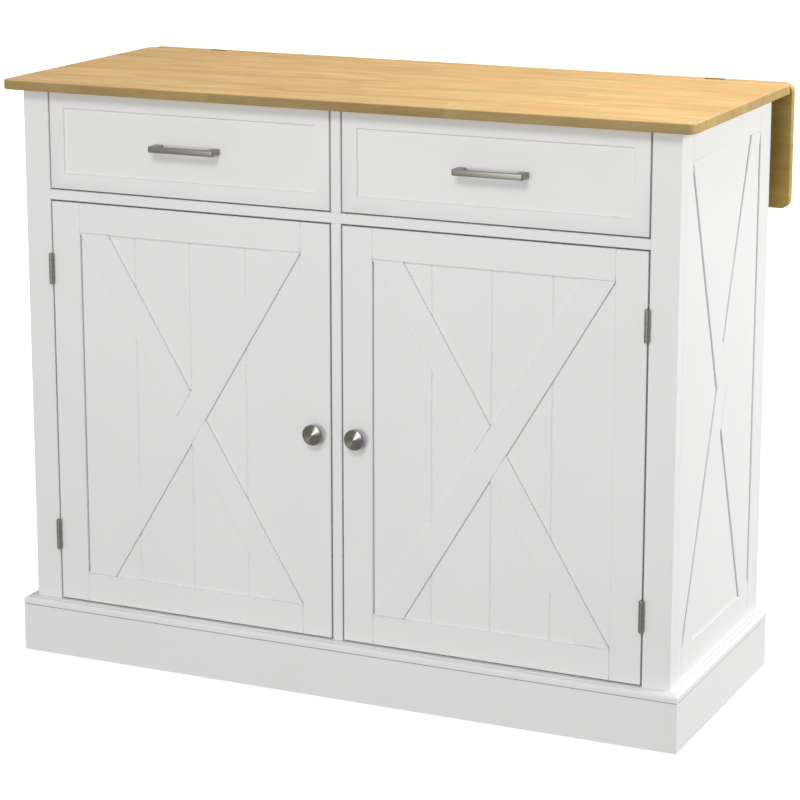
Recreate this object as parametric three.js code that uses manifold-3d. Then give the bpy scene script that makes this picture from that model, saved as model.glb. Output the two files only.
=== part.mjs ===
// Drop leaf kitchen island: a painted cabinet with two drawers over two framed
// doors, a moulded plinth, and a wood worktop whose back leaf hangs down and
// swings up on folding brackets. Millimetres, +Z up, the front faces -Y.
// The origin is on the floor at the middle of the whole outline.
import * as THREE from 'three';
import { mergeVertices } from 'three/addons/utils/BufferGeometryUtils.js';
import Module from 'manifold-3d';

const wasm = await Module();
wasm.setup();

// ---- driving dimensions -------------------------------------------------
// overall
const TOTAL_H = 914;            // floor to the worktop's face, 36 in
const CABINET_W = 1062;         // over the side frames
const CABINET_D = 408;          // face frame to back panel
// worktop and leaf
const TOP_T = 15;               // worktop and leaf thickness
const TOP_OVERHANG = 24;        // worktop past the cabinet on all four sides
const TOP_CORNER_R = 14;        // rounded corners in plan
const TOP_EASE = 2;             // rounded arrises of the wood
const LEAF_DROP = 192;          // depth of the hanging leaf
const LEAF_GAP_UP = 3.5;        // joint between worktop and raised leaf
const LEAF_GAP_DOWN = 2;        // joint between worktop and hanging leaf
// face frame
const FRAME_T = 20;             // depth of stiles and rails
const STILE_ROUND = 3;          // rounded outer corner of an outer stile
const STILE_BACK_EASE = 0.25;   // its arris at the joint with the side frame
const STILE_W = 44;             // outer stiles
const CENTRE_W = 16;            // stile between the doors
const MID_RAIL_H = 15.5;        // rail under the drawers
const DRAWER_OPEN_H = 153.5;    // mid rail to the worktop
// carcass
const SIDE_T = 14;              // side boards
const SIDE_OVERLAY_T = 2.5;     // frames and braces on the side boards
const DIVIDER_T = 18;
const BOTTOM_T = 16;
const BACK_T = 9;
const STRETCHER_W = 60;
const STRETCHER_T = 15;
const SHELF_T = 15;
const SHELF_LIFT = 325;         // bottom board to shelf
const SHELF_SETBACK = 30;       // shelf behind the face frame
const PIN_R = 2.5;
const PIN_OUT = 8;
const PIN_INSET = 60;           // shelf pins from the shelf's ends
const PIN_SET = 1;              // shelf pin let into the board
// plinth
const PLINTH_T = 16;            // how far it stands out
const PLINTH_H = 88;
const PLINTH_FASCIA_H = 76;     // plain face up to the quirk line
const PLINTH_QUIRK = 1;         // half width and depth of the quirk line
const PLINTH_NOSE_R = 4.5;      // rounded nose of the cap
const PLINTH_STEP = 7;          // flat strip between the nose and the cabinet
// doors
const DOOR_T = 18;
const DOOR_STILE_W = 48;
const DOOR_RAIL_W = 46;
const REVEAL = 2.5;             // gap round doors and drawer fronts
const OVERLAY_T = 4;            // door frame and brace in front of the planks
const PANEL_T = 8;              // plank panel
const PANEL_LAP = 8;            // panel held behind the door frame
const PLANKS = 4;
const GROOVE_W = 3;             // V grooves between planks
const GROOVE_D = 1.5;
const BRACE_W = 42;             // boards of the X brace
const SIDE_FRAME_W = 48;        // visible stiles and rails of the sides
const KEY_IN = 0.75;            // hidden keys and tenons lie this far under the faces
const KEY_REACH = 4;            // how far they run across a joint
const KEY_HALF = 6;             // half width of a key, and the shoulder of a tenon
// door hinges and furniture
const HINGE_H = 50;
const HINGE_R = 4;
const HINGE_PIN_R = 1.6;
const HINGE_PLATE_T = 1;
const HINGE_PLATE_D = 16;
const HINGE_FROM_END = 105;     // hinge centre from the door's end
const HINGE_PROUD = 4.25;        // pin in front of the door's face
const KNUCKLES = 5;
const KNOB_R = 15.75;
const KNOB_OUT = 18;
const KNOB_STEM_R = 5.5;
const KNOB_FOOT_R = 9;          // its round foot on the door
const KNOB_FOOT_T = 1.5;
const KNOB_NECK = 7;            // door to where the head starts to swell
const KNOB_RIM_T = 3;
const KNOB_CONE = 2.5;          // height of the flat cone in front
const PULL_L = 110;
const PULL_OUT = 24;            // from the recessed field
const PULL_H = 9;
const PULL_BAR_T = 6;
const PULL_FOOT_L = 14;
const PULL_CORNER_R = 3;
const PULL_FILLET_R = 6;        // inside corners between bar and feet
// drawers
const FRONT_BORDER = 24;        // raised border of a drawer front
const FRONT_RECESS = 3;
const BOX_T = 12;
const BOX_H = 106;
const BOX_BACK_GAP = 16;        // drawer box to the back stretcher
const BOX_SIDE_GAP = 13;        // drawer box to the opening's side
const BOX_LIFT = 18;            // drawer box above the mid rail
const BOX_BOTTOM_T = 4;
const BOX_BOTTOM_LIFT = 10;
const BOX_BOTTOM_LAP = 5;
const RUNNER_H = 14;
const RUNNER_LAP = 6;           // runner inside the drawer side's groove
const RUNNER_BACK_GAP = 8;      // runners to the back stretcher
const CLEAT_H = 40;             // packing that carries an outer runner
// leaf hardware
const LEAF_HINGE_INSET = 101;   // hinge centres from the cabinet's side
const BRACKET_INSET = 261;      // bracket centres from the cabinet's side
const LEAF_BARREL_R = 3;
const LEAF_PIN_R = 1.5;
const LEAF_BARREL_L = 26;
const LEAF_PLATE_T = 2;
const LEAF_PLATE_D = 28;
const LEAF_PLATE_GAP = 2;       // hinge plate behind the back panel
const LEAF_EAR_T = 3;
const LEAF_EAR_ROOT = 8;        // ears start this far under the notch
const NOTCH_FIT = 1.25;         // notch in the leaf round its hinge
const BRACKET_W = 16;           // strut width
const STRUT_T = 3;
const STRUT_L = 102;            // wall pin to sliding end
const STRUT_END_R = 4;
const ARM_T = 3;
const ARM_L = 154;
const ARM_FLANGE = 6;
const ARM_DROP = 14;            // channel under the worktop's lower face
const LEG_T = 2.5;
const LEG_H = 100;
const LEG_DROP = 3;             // wall leg under the worktop
const CHEEK_T = 2;              // cheeks of the wall leg and of the channel
const CHEEK_REACH = 15;         // cheek on the leg, above and below the pin
const CHEEK_WALL = 3;           // metal round the wall pin
const WALL_PIN_OUT = 10;        // wall pin behind the back panel
const WALL_PIN_DROP = 72;       // wall pin under the worktop's face
const WALL_PIN_R = 2;
// fits
const FIT = 0.5;                // pieces that slide or drop into each other
const TOUCH = 0.3;              // pieces that rest on round or turned work
const PIN_FIT = 0.3;            // round a pin
const SEAM = 0.4;               // open joint line between glued boards
const EASE = 1;                 // softened arrises of painted boards
const FINE_EASE = 0.5;
const PAST = 1;                 // how far a cutter runs past a face

// ---- derived places -----------------------------------------------------
const HALF_W = CABINET_W / 2;
const CARCASS_TOP = TOTAL_H - TOP_T;
const TOP_BACK = CABINET_D + TOP_OVERHANG;
const LEAF_INNER = TOP_BACK + LEAF_GAP_DOWN;
const MID_Y = (LEAF_INNER + TOP_T - TOP_OVERHANG) / 2;
const INNER_X = HALF_W - SIDE_OVERLAY_T - SIDE_T;
const OPEN_X = HALF_W - STILE_W;
const OPEN_W = OPEN_X - CENTRE_W / 2;
const OPEN_MID = (OPEN_X + CENTRE_W / 2) / 2;
const DRAWER_Z = CARCASS_TOP - DRAWER_OPEN_H;
const DOOR_OPEN_TOP = DRAWER_Z - MID_RAIL_H;
const DOOR_W = OPEN_W - 2 * REVEAL;
const DOOR_H = DOOR_OPEN_TOP - PLINTH_H - 2 * REVEAL;
const DOOR_Z = PLINTH_H + REVEAL;
const SHELF_Z = PLINTH_H + SHELF_LIFT;
const INSIDE_BACK = CABINET_D - BACK_T;
const STRETCHER_FRONT = INSIDE_BACK - STRETCHER_T;
const LEAF_HINGE_X = HALF_W - LEAF_HINGE_INSET;
const BRACKET_X = HALF_W - BRACKET_INSET;
const PIVOT_Y = TOP_BACK + (LEAF_GAP_UP + TOP_T + LEAF_GAP_DOWN) / 2;
const PIVOT_Z = TOTAL_H + (LEAF_GAP_UP - TOP_T - LEAF_GAP_DOWN) / 2;

// ---- materials ----------------------------------------------------------
const PAINT = { color: 0xf2f2f0, roughness: 0.45, metalness: 0 };
const WOOD = { color: 0xe6bd7f, roughness: 0.5, metalness: 0 };
const METAL = { color: 0x8d8a84, roughness: 0.35, metalness: 1 };
const STEEL = { color: 0xb9bbbd, roughness: 0.4, metalness: 1 };
const BARE = { color: 0xd9c7a3, roughness: 0.7, metalness: 0 };

// ---- helpers ------------------------------------------------------------
function solid(geometry) {
  const bare = geometry.clone();
  bare.deleteAttribute('normal');
  bare.deleteAttribute('uv');
  const merged = mergeVertices(bare, 1e-4);
  return new wasm.Manifold(new wasm.Mesh({
    numProp: 3,
    vertProperties: merged.attributes.position.array,
    triVerts: new Uint32Array(merged.index.array),
  }));
}

function geometryOf(shape) {
  const mesh = shape.getMesh();
  const geometry = new THREE.BufferGeometry();
  geometry.setAttribute('position', new THREE.BufferAttribute(mesh.vertProperties, 3));
  geometry.setIndex(new THREE.BufferAttribute(mesh.triVerts, 1));
  geometry.computeVertexNormals();
  return geometry;
}

function join(...pieces) {
  return geometryOf(pieces.map(solid).reduce((sum, next) => sum.add(next)));
}

function cut(piece, ...tools) {
  return geometryOf(tools.map(solid).reduce((left, tool) => left.subtract(tool), solid(piece)));
}

function part(name, geometry, finish) {
  const mesh = new THREE.Mesh(geometry, new THREE.MeshStandardMaterial(finish));
  mesh.name = name;
  return mesh;
}

// a plain block between two corners
function block(x0, x1, y0, y1, z0, z1) {
  const geometry = new THREE.BoxGeometry(x1 - x0, y1 - y0, z1 - z0);
  return geometry.translate((x0 + x1) / 2, (y0 + y1) / 2, (z0 + z1) / 2);
}

function outline(points) {
  return new THREE.Shape(points.map(([a, b]) => new THREE.Vector2(a, b)));
}

// a rectangle whose corners are cut off at 45 degrees
function easedOutline(a0, a1, b0, b1, ease) {
  return outline([
    [a0 + ease, b0], [a1 - ease, b0], [a1, b0 + ease], [a1, b1 - ease],
    [a1 - ease, b1], [a0 + ease, b1], [a0, b1 - ease], [a0, b0 + ease],
  ]);
}

function extrude(shape, depth, bevel = 0, segments = 1) {
  return new THREE.ExtrudeGeometry(shape, {
    depth: depth - 2 * bevel,
    steps: 1,
    bevelEnabled: bevel > 0,
    bevelSize: bevel,
    bevelThickness: bevel,
    bevelOffset: -bevel,
    bevelSegments: segments,
    curveSegments: 6,
  }).translate(0, 0, bevel);
}

// a board between two corners with all its arrises softened
function board(x0, x1, y0, y1, z0, z1, ease = EASE) {
  const geometry = extrude(easedOutline(x0, x1, z0, z1, ease), y1 - y0, ease);
  return geometry.rotateX(Math.PI / 2).translate(0, y1, 0);
}

// an outline drawn in Y and Z, extruded along X from x0
function extrudeAlongX(shape, x0, width, bevel = 0) {
  const geometry = extrude(shape, width, bevel);
  const turn = new THREE.Matrix4().makeBasis(
    new THREE.Vector3(0, 1, 0), new THREE.Vector3(0, 0, 1), new THREE.Vector3(1, 0, 0));
  return geometry.applyMatrix4(turn).translate(x0, 0, 0);
}

function roundedRectangle(x0, x1, y0, y1, radius) {
  const shape = new THREE.Shape();
  shape.absarc(x1 - radius, y1 - radius, radius, 0, Math.PI / 2);
  shape.absarc(x0 + radius, y1 - radius, radius, Math.PI / 2, Math.PI);
  shape.absarc(x0 + radius, y0 + radius, radius, Math.PI, 1.5 * Math.PI);
  shape.absarc(x1 - radius, y0 + radius, radius, 1.5 * Math.PI, 2 * Math.PI);
  shape.closePath();
  return shape;
}

// a round bar along X or Z, its middle at the given place
function barX(radius, length, y, z, sides = 16) {
  return new THREE.CylinderGeometry(radius, radius, length, sides).rotateZ(Math.PI / 2).translate(0, y, z);
}

function barZ(radius, length, x, y, z, sides = 16) {
  return new THREE.CylinderGeometry(radius, radius, length, sides).rotateX(Math.PI / 2).translate(x, y, z);
}

const SIDES = [['left', -1], ['right', 1]];

// ---- worktop and leaf ---------------------------------------------------
function worktop() {
  const shape = roundedRectangle(
    -HALF_W - TOP_OVERHANG, HALF_W + TOP_OVERHANG, -TOP_OVERHANG, TOP_BACK, TOP_CORNER_R);
  return extrude(shape, TOP_T, TOP_EASE, 3).translate(0, 0, CARCASS_TOP);
}

// the notch in the leaf's upper edge that the hinge barrel turns in
const NOTCH_BOTTOM = CARCASS_TOP - LEAF_PLATE_T - NOTCH_FIT;
const NOTCH_HALF = LEAF_BARREL_L / 2 + TOUCH + LEAF_EAR_T + FIT;
const NOTCH_DEPTH = PIVOT_Y + LEAF_BARREL_R + NOTCH_FIT;

function leafBoard() {
  const shape = roundedRectangle(
    -HALF_W - TOP_OVERHANG, HALF_W + TOP_OVERHANG, TOTAL_H - LEAF_DROP, TOTAL_H, TOP_CORNER_R);
  const slab = extrude(shape, TOP_T, TOP_EASE, 3);
  slab.rotateX(Math.PI / 2).translate(0, LEAF_INNER + TOP_T, 0);
  const cuts = [];
  for (const [, side] of SIDES) {
    const x = side * LEAF_HINGE_X;
    cuts.push(block(x - NOTCH_HALF, x + NOTCH_HALF, LEAF_INNER - PAST, NOTCH_DEPTH,
      NOTCH_BOTTOM, TOTAL_H + PAST));
    cuts.push(block(x - NOTCH_HALF, x + NOTCH_HALF, LEAF_INNER - PAST, LEAF_INNER + LEAF_PLATE_T,
      NOTCH_BOTTOM - LEAF_PLATE_D, NOTCH_BOTTOM + PAST));
  }
  return cut(slab, ...cuts);
}

// worktop half: a plate under the overhang, cranked up to the barrel and its pin
function topHinge() {
  // the tongue meets the barrel across its whole width, on a slope of 4 in 3
  const back = 0.8 * LEAF_BARREL_R;
  const rise = 0.6 * LEAF_BARREL_R;
  const plateFront = CABINET_D + LEAF_PLATE_GAP;
  const tongue = outline([
    [plateFront, CARCASS_TOP - LEAF_PLATE_T],
    [LEAF_INNER + LEAF_BARREL_R, CARCASS_TOP - LEAF_PLATE_T],
    [PIVOT_Y + back, PIVOT_Z - rise],
    [PIVOT_Y - back, PIVOT_Z + rise],
    [TOP_BACK + FIT, CARCASS_TOP],
    [plateFront, CARCASS_TOP],
  ]);
  const barrel = barX(LEAF_BARREL_R, LEAF_BARREL_L, PIVOT_Y, PIVOT_Z);
  const pin = barX(LEAF_PIN_R, 2 * (NOTCH_HALF - FIT), PIVOT_Y, PIVOT_Z, 12);
  return join(extrudeAlongX(tongue, -LEAF_BARREL_L / 2, LEAF_BARREL_L), barrel, pin);
}

// leaf half: a plate let into the leaf with an ear on each side of the barrel
function leafHinge() {
  const earR = LEAF_BARREL_R + FIT;
  const chord = earR / Math.SQRT2;
  const foot = NOTCH_BOTTOM - LEAF_EAR_ROOT;
  const half = NOTCH_HALF - FIT;
  const ear = outline([
    [LEAF_INNER, foot],
    [LEAF_INNER + LEAF_PLATE_T, foot],
    [LEAF_INNER + LEAF_PLATE_T, NOTCH_BOTTOM + TOUCH],
    [PIVOT_Y + chord, PIVOT_Z - chord],
    [PIVOT_Y - chord, PIVOT_Z + chord],
    [LEAF_INNER, PIVOT_Z - 2 * earR],
  ]);
  const pieces = [block(-half, half, LEAF_INNER, LEAF_INNER + LEAF_PLATE_T,
    NOTCH_BOTTOM - LEAF_PLATE_D + TOUCH, NOTCH_BOTTOM - TOUCH)];
  for (const x of [-half, half - LEAF_EAR_T]) {
    pieces.push(extrudeAlongX(ear, x, LEAF_EAR_T));
    pieces.push(barX(earR, LEAF_EAR_T, PIVOT_Y, PIVOT_Z).translate(x + LEAF_EAR_T / 2, 0, 0));
  }
  return cut(join(...pieces), barX(LEAF_PIN_R + PIN_FIT, 4 * half, PIVOT_Y, PIVOT_Z));
}

// ---- folding brackets ---------------------------------------------------
const WALL_PIN_Y = CABINET_D + WALL_PIN_OUT;
const WALL_PIN_Z = TOTAL_H - WALL_PIN_DROP;
const ARM_FACE_Y = LEAF_INNER - ARM_T;
const CHEEK_X = BRACKET_W / 2 + FIT;
// hanging, the strut's end rests just off the arm's face
const STRUT_LEAN = Math.asin((ARM_FACE_Y - FIT - STRUT_END_R - WALL_PIN_Y) / STRUT_L);

function wallLeg() {
  const top = CARCASS_TOP - LEG_DROP;
  const width = CHEEK_X + CHEEK_T;
  const nose = WALL_PIN_R + CHEEK_WALL;
  const cheek = outline([
    [CABINET_D, WALL_PIN_Z - CHEEK_REACH], [WALL_PIN_Y, WALL_PIN_Z - nose],
    [WALL_PIN_Y, WALL_PIN_Z + nose], [CABINET_D, WALL_PIN_Z + CHEEK_REACH],
  ]);
  const pieces = [board(-width, width, CABINET_D, CABINET_D + LEG_T, top - LEG_H, top, FINE_EASE)];
  for (const x of [-width, CHEEK_X]) {
    pieces.push(extrudeAlongX(cheek, x, CHEEK_T));
    pieces.push(barX(nose, CHEEK_T, WALL_PIN_Y, WALL_PIN_Z).translate(x + CHEEK_T / 2, 0, 0));
  }
  pieces.push(barX(WALL_PIN_R, 2 * width, WALL_PIN_Y, WALL_PIN_Z, 12));
  return join(...pieces);
}

// drawn straight down from its eye at the origin
function strut() {
  const half = BRACKET_W / 2;
  const bar = block(-half, half, -STRUT_T / 2, STRUT_T / 2, -STRUT_L, 0);
  const eye = barX(STRUT_END_R, BRACKET_W, 0, 0);
  const end = barX(STRUT_END_R, BRACKET_W, 0, -STRUT_L);
  return cut(join(bar, eye, end), barX(WALL_PIN_R + PIN_FIT, 2 * BRACKET_W, 0, 0));
}

// a shallow channel under the leaf that guides the strut's end
function leafArm() {
  const top = CARCASS_TOP - ARM_DROP;
  const width = CHEEK_X + CHEEK_T;
  const web = block(-width, width, ARM_FACE_Y, LEAF_INNER, top - ARM_L, top);
  const flanges = [-width, CHEEK_X].map(
    (x) => block(x, x + CHEEK_T, ARM_FACE_Y - ARM_FLANGE, LEAF_INNER, top - ARM_L, top));
  return join(web, ...flanges);
}

// ---- carcass ------------------------------------------------------------
// shelf pins stand out of a board's face at x, towards the given side
function shelfPins(x, side) {
  const z = SHELF_Z - TOUCH - PIN_R;
  const front = FRAME_T + SHELF_SETBACK + PIN_INSET;
  return [front, INSIDE_BACK - PIN_INSET].map(
    (y) => barX(PIN_R, PIN_OUT + PIN_SET, y, z, 8).translate(x + side * (PIN_OUT - PIN_SET) / 2, 0, 0));
}

function sideBoard(side) {
  const outer = HALF_W - SIDE_OVERLAY_T;
  const slab = side < 0
    ? block(-outer, -INNER_X, FRAME_T, CABINET_D, 0, CARCASS_TOP)
    : block(INNER_X, outer, FRAME_T, CABINET_D, 0, CARCASS_TOP);
  return join(slab, ...shelfPins(side * INNER_X, -side));
}

function divider() {
  const shape = outline([
    [FRAME_T, PLINTH_H], [INSIDE_BACK, PLINTH_H], [INSIDE_BACK, CARCASS_TOP - STRETCHER_W],
    [STRETCHER_FRONT, CARCASS_TOP - STRETCHER_W], [STRETCHER_FRONT, CARCASS_TOP],
    [FRAME_T + STRETCHER_W, CARCASS_TOP], [FRAME_T + STRETCHER_W, CARCASS_TOP - STRETCHER_T],
    [FRAME_T, CARCASS_TOP - STRETCHER_T],
  ]);
  const slab = extrudeAlongX(shape, -DIVIDER_T / 2, DIVIDER_T);
  return join(slab, ...shelfPins(-DIVIDER_T / 2, -1), ...shelfPins(DIVIDER_T / 2, 1));
}

function bottomBoard() {
  const shape = outline([
    [-OPEN_X, 0], [OPEN_X, 0], [OPEN_X, FRAME_T], [INNER_X, FRAME_T],
    [INNER_X, INSIDE_BACK], [-INNER_X, INSIDE_BACK], [-INNER_X, FRAME_T], [-OPEN_X, FRAME_T],
  ]);
  return extrude(shape, BOTTOM_T).translate(0, 0, PLINTH_H - BOTTOM_T);
}

function backPanel() {
  return block(-INNER_X, INNER_X, INSIDE_BACK, CABINET_D, PLINTH_H - BOTTOM_T, CARCASS_TOP);
}

function frontStretcher() {
  return block(-INNER_X, INNER_X, FRAME_T, FRAME_T + STRETCHER_W, CARCASS_TOP - STRETCHER_T, CARCASS_TOP);
}

function backStretcher() {
  return block(-INNER_X, INNER_X, STRETCHER_FRONT, INSIDE_BACK,
    CARCASS_TOP - STRETCHER_W, CARCASS_TOP);
}

function shelf() {
  const inner = DIVIDER_T / 2 + FIT;
  return board(inner, INNER_X - FIT, FRAME_T + SHELF_SETBACK, INSIDE_BACK - FIT,
    SHELF_Z, SHELF_Z + SHELF_T, FINE_EASE).translate(-(inner + INNER_X - FIT) / 2, 0, 0);
}

// outer stile, rounded on the cabinet's corner
function faceStile(side) {
  const shape = new THREE.Shape();
  const outer = side * HALF_W;
  const inner = side * OPEN_X;
  shape.moveTo(inner, FRAME_T);
  shape.lineTo(inner, EASE);
  shape.lineTo(inner + side * EASE, 0);
  shape.lineTo(outer - side * STILE_ROUND, 0);
  shape.absarc(outer - side * STILE_ROUND, STILE_ROUND, STILE_ROUND,
    -Math.PI / 2, side < 0 ? -Math.PI : 0, side < 0);
  shape.lineTo(outer, FRAME_T - STILE_BACK_EASE);
  shape.lineTo(outer - side * STILE_BACK_EASE, FRAME_T);
  shape.closePath();
  return extrude(shape, CARCASS_TOP);
}

function midRail() {
  return board(-OPEN_X, OPEN_X, 0, FRAME_T, DOOR_OPEN_TOP, DRAWER_Z);
}

function centreStile(z0, z1) {
  return board(-CENTRE_W / 2, CENTRE_W / 2, 0, FRAME_T, z0, z1);
}

// applied frame of a side, drawn as seen from outside with y from 0 to its thickness
function sideFrame() {
  const depth = CABINET_D - FRAME_T;
  const front = SIDE_FRAME_W - FRAME_T;
  const back = depth - SIDE_FRAME_W;
  const low = PLINTH_H + SIDE_FRAME_W;
  const high = CARCASS_TOP - SIDE_FRAME_W;
  const thin = (x0, x1, z0, z1) => board(x0, x1, 0, SIDE_OVERLAY_T, z0, z1, FINE_EASE);
  const key = (x0, x1, z0, z1) => block(x0, x1, KEY_IN, SIDE_OVERLAY_T - KEY_IN, z0, z1);
  const pieces = [thin(0, front, 0, CARCASS_TOP), thin(back, depth, 0, CARCASS_TOP)];
  for (const [z0, z1] of [[0, low], [high, CARCASS_TOP]]) {
    pieces.push(thin(front + SEAM, back - SEAM, z0, z1));
    pieces.push(key(front - KEY_REACH, back + KEY_REACH, z0 + KEY_HALF, z1 - KEY_HALF));
  }
  const middle = (front + back) / 2;
  pieces.push(xBrace(back - front, high - low, SIDE_OVERLAY_T).translate(middle, 0, (low + high) / 2));
  // keys tie the brace's ends to the rails
  const keyX = (back - front - BRACE_W) / 2 - KEY_HALF;
  for (const x of [middle - keyX, middle + keyX]) {
    for (const z of [low, high]) {
      pieces.push(key(x - KEY_HALF, x + KEY_HALF, z - KEY_REACH, z + KEY_REACH));
    }
  }
  return join(...pieces);
}

// length of a brace's level end cut, for a board BRACE_W wide
function braceCut(width, height) {
  let length = BRACE_W;
  for (let step = 0; step < 20; step += 1) {
    length = BRACE_W * Math.hypot(1, (width - length) / height);
  }
  return length;
}

// two crossed boards in an opening, one through, the other in halves butted on it
function xBrace(width, height, thickness) {
  const x = width / 2 - TOUCH;
  const z = height / 2 - TOUCH;
  const end = braceCut(2 * x, 2 * z);
  const arm = (grow, way) => outline([
    [-way * (x + grow), -z - grow], [-way * (x - end - grow), -z - grow],
    [way * (x + grow), z + grow], [way * (x - end - grow), z + grow],
  ]);
  const lay = (shape, y0, y1, ease) => extrude(shape, y1 - y0, ease).rotateX(Math.PI / 2).translate(0, y1, 0);
  const through = lay(arm(0, 1), 0, thickness, FINE_EASE);
  const gap = lay(arm(SEAM, 1), -PAST, thickness + PAST, 0);
  const halves = cut(lay(arm(0, -1), 0, thickness, FINE_EASE), gap);
  const key = lay(arm(-BRACE_W / 4, -1), KEY_IN, thickness - KEY_IN, 0);
  const window = block(-BRACE_W, BRACE_W, 0, thickness, -BRACE_W, BRACE_W);
  return join(through, halves, geometryOf(solid(key).intersect(solid(window))));
}

// ---- plinth -------------------------------------------------------------
// profile with d out from the cabinet: fascia, quirk line, rounded nose, flat strip
function plinthProfile() {
  const shape = new THREE.Shape();
  const nose = PLINTH_T - PLINTH_NOSE_R;
  const capTop = PLINTH_H - PLINTH_QUIRK;
  shape.moveTo(0, 0);
  shape.lineTo(PLINTH_T, 0);
  shape.lineTo(PLINTH_T, PLINTH_FASCIA_H - PLINTH_QUIRK);
  shape.lineTo(PLINTH_T - PLINTH_QUIRK, PLINTH_FASCIA_H);
  shape.lineTo(PLINTH_T, PLINTH_FASCIA_H + PLINTH_QUIRK);
  shape.absarc(nose, capTop - PLINTH_NOSE_R, PLINTH_NOSE_R, 0, Math.PI / 2, false);
  shape.lineTo(PLINTH_STEP, capTop);
  shape.lineTo(PLINTH_STEP - PLINTH_QUIRK, PLINTH_H);
  shape.lineTo(0, PLINTH_H);
  shape.closePath();
  return shape;
}

// a length of plinth facing -Y between x0 and x1, mitred where it meets another
function plinth(x0, x1, mitreStart, mitreEnd) {
  const geometry = extrude(plinthProfile(), 1);
  const place = geometry.attributes.position;
  for (let i = 0; i < place.count; i += 1) {
    const out = place.getX(i);
    const start = x0 - (mitreStart ? out - SEAM : 0);
    const end = x1 + (mitreEnd ? out - SEAM : 0);
    place.setXYZ(i, end + (start - end) * place.getZ(i), -out, place.getY(i));
  }
  geometry.computeVertexNormals();
  return geometry;
}

// ---- doors --------------------------------------------------------------
function doorFrame() {
  const half = DOOR_W / 2;
  const inner = half - DOOR_STILE_W;
  const pieces = [-half, inner].map((x) => board(x, x + DOOR_STILE_W, 0, DOOR_T, 0, DOOR_H, FINE_EASE));
  for (const z of [0, DOOR_H - DOOR_RAIL_W]) {
    pieces.push(board(-inner + SEAM, inner - SEAM, 0, DOOR_T, z, z + DOOR_RAIL_W, FINE_EASE));
    pieces.push(block(-inner - KEY_REACH, inner + KEY_REACH, KEY_IN, DOOR_T - KEY_IN,
      z + KEY_HALF, z + DOOR_RAIL_W - KEY_HALF));
  }
  const rebate = block(-inner - PANEL_LAP, inner + PANEL_LAP, OVERLAY_T, DOOR_T + PAST,
    DOOR_RAIL_W - PANEL_LAP, DOOR_H - DOOR_RAIL_W + PANEL_LAP);
  return cut(join(...pieces), rebate);
}

// planks as one grooved panel, extruded upwards
function plankPanel() {
  const visible = DOOR_W - 2 * DOOR_STILE_W;
  const half = visible / 2 + PANEL_LAP - FIT / 2;
  const face = OVERLAY_T;
  const points = [[-half, face]];
  for (let i = 1; i < PLANKS; i += 1) {
    const x = -visible / 2 + (i * visible) / PLANKS;
    points.push([x - GROOVE_W / 2, face], [x, face + GROOVE_D], [x + GROOVE_W / 2, face]);
  }
  points.push([half, face], [half, face + PANEL_T], [-half, face + PANEL_T]);
  const low = DOOR_RAIL_W - PANEL_LAP + FIT / 2;
  return extrude(outline(points), DOOR_H - 2 * low).translate(0, 0, low);
}

function doorBrace() {
  return xBrace(DOOR_W - 2 * DOOR_STILE_W, DOOR_H - 2 * DOOR_RAIL_W, OVERLAY_T)
    .translate(0, 0, DOOR_H / 2);
}

function knob() {
  const rim = KNOB_OUT - KNOB_CONE;
  const headBack = rim - KNOB_RIM_T;
  const profile = [
    [0, 0], [KNOB_FOOT_R, 0], [KNOB_FOOT_R, KNOB_FOOT_T],
    [KNOB_STEM_R + EASE, 2 * KNOB_FOOT_T], [KNOB_STEM_R, KNOB_NECK / 2], [KNOB_STEM_R, KNOB_NECK],
    [(3 * KNOB_STEM_R + KNOB_R) / 4, (KNOB_NECK + headBack) / 2],
    [KNOB_R - EASE, headBack - EASE], [KNOB_R, headBack], [KNOB_R, rim - EASE],
    [KNOB_R - EASE, rim], [0, KNOB_OUT],
  ].map(([r, y]) => new THREE.Vector2(r, y));
  return new THREE.LatheGeometry(profile, 32).rotateZ(Math.PI);
}

// ---- butt hinges --------------------------------------------------------
// Drawn about the pin, with the door towards +X times side. The frame half has
// the odd knuckles and the pin, the door half the even knuckles.
const KNUCKLE_L = (HINGE_H - HINGE_R) / KNUCKLES;

function hingeHalf(side, first, plateFrom) {
  const a = side * plateFrom;
  const b = side * (plateFrom + HINGE_PLATE_T);
  const x0 = Math.min(a, b);
  const x1 = Math.max(a, b);
  const bottom = -(KNUCKLES * KNUCKLE_L) / 2;
  const pieces = [block(x0, x1, HINGE_PROUD, HINGE_PROUD + HINGE_PLATE_D, bottom, -bottom)];
  for (let i = first; i < KNUCKLES; i += 2) {
    const low = bottom + i * KNUCKLE_L + TOUCH / 2;
    const high = low + KNUCKLE_L - TOUCH;
    pieces.push(block(x0, x1, 0, HINGE_PROUD + PAST, low, high));
    pieces.push(barZ(HINGE_R, high - low, 0, 0, (low + high) / 2));
  }
  return pieces;
}

function frameHingeHalf(side) {
  const reach = (KNUCKLES * KNUCKLE_L) / 2;
  const tip = [[0, 0], [HINGE_R, 0], [HINGE_R * 0.8, HINGE_R * 0.35], [0, HINGE_R / 2]]
    .map(([r, y]) => new THREE.Vector2(r, y));
  const top = new THREE.LatheGeometry(tip, 16).rotateX(Math.PI / 2).translate(0, 0, reach - TOUCH);
  const foot = new THREE.LatheGeometry(tip, 16).rotateX(-Math.PI / 2).translate(0, 0, TOUCH - reach);
  const pin = barZ(HINGE_PIN_R, 2 * (reach - FIT), 0, 0, 0, 12);
  return join(...hingeHalf(side, 0, -REVEAL / 2), pin, top, foot);
}

function doorHingeHalf(side) {
  const bore = barZ(HINGE_PIN_R + PIN_FIT, 2 * HINGE_H, 0, 0, 0);
  return cut(join(...hingeHalf(side, 1, REVEAL / 2 - HINGE_PLATE_T)), bore);
}

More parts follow.
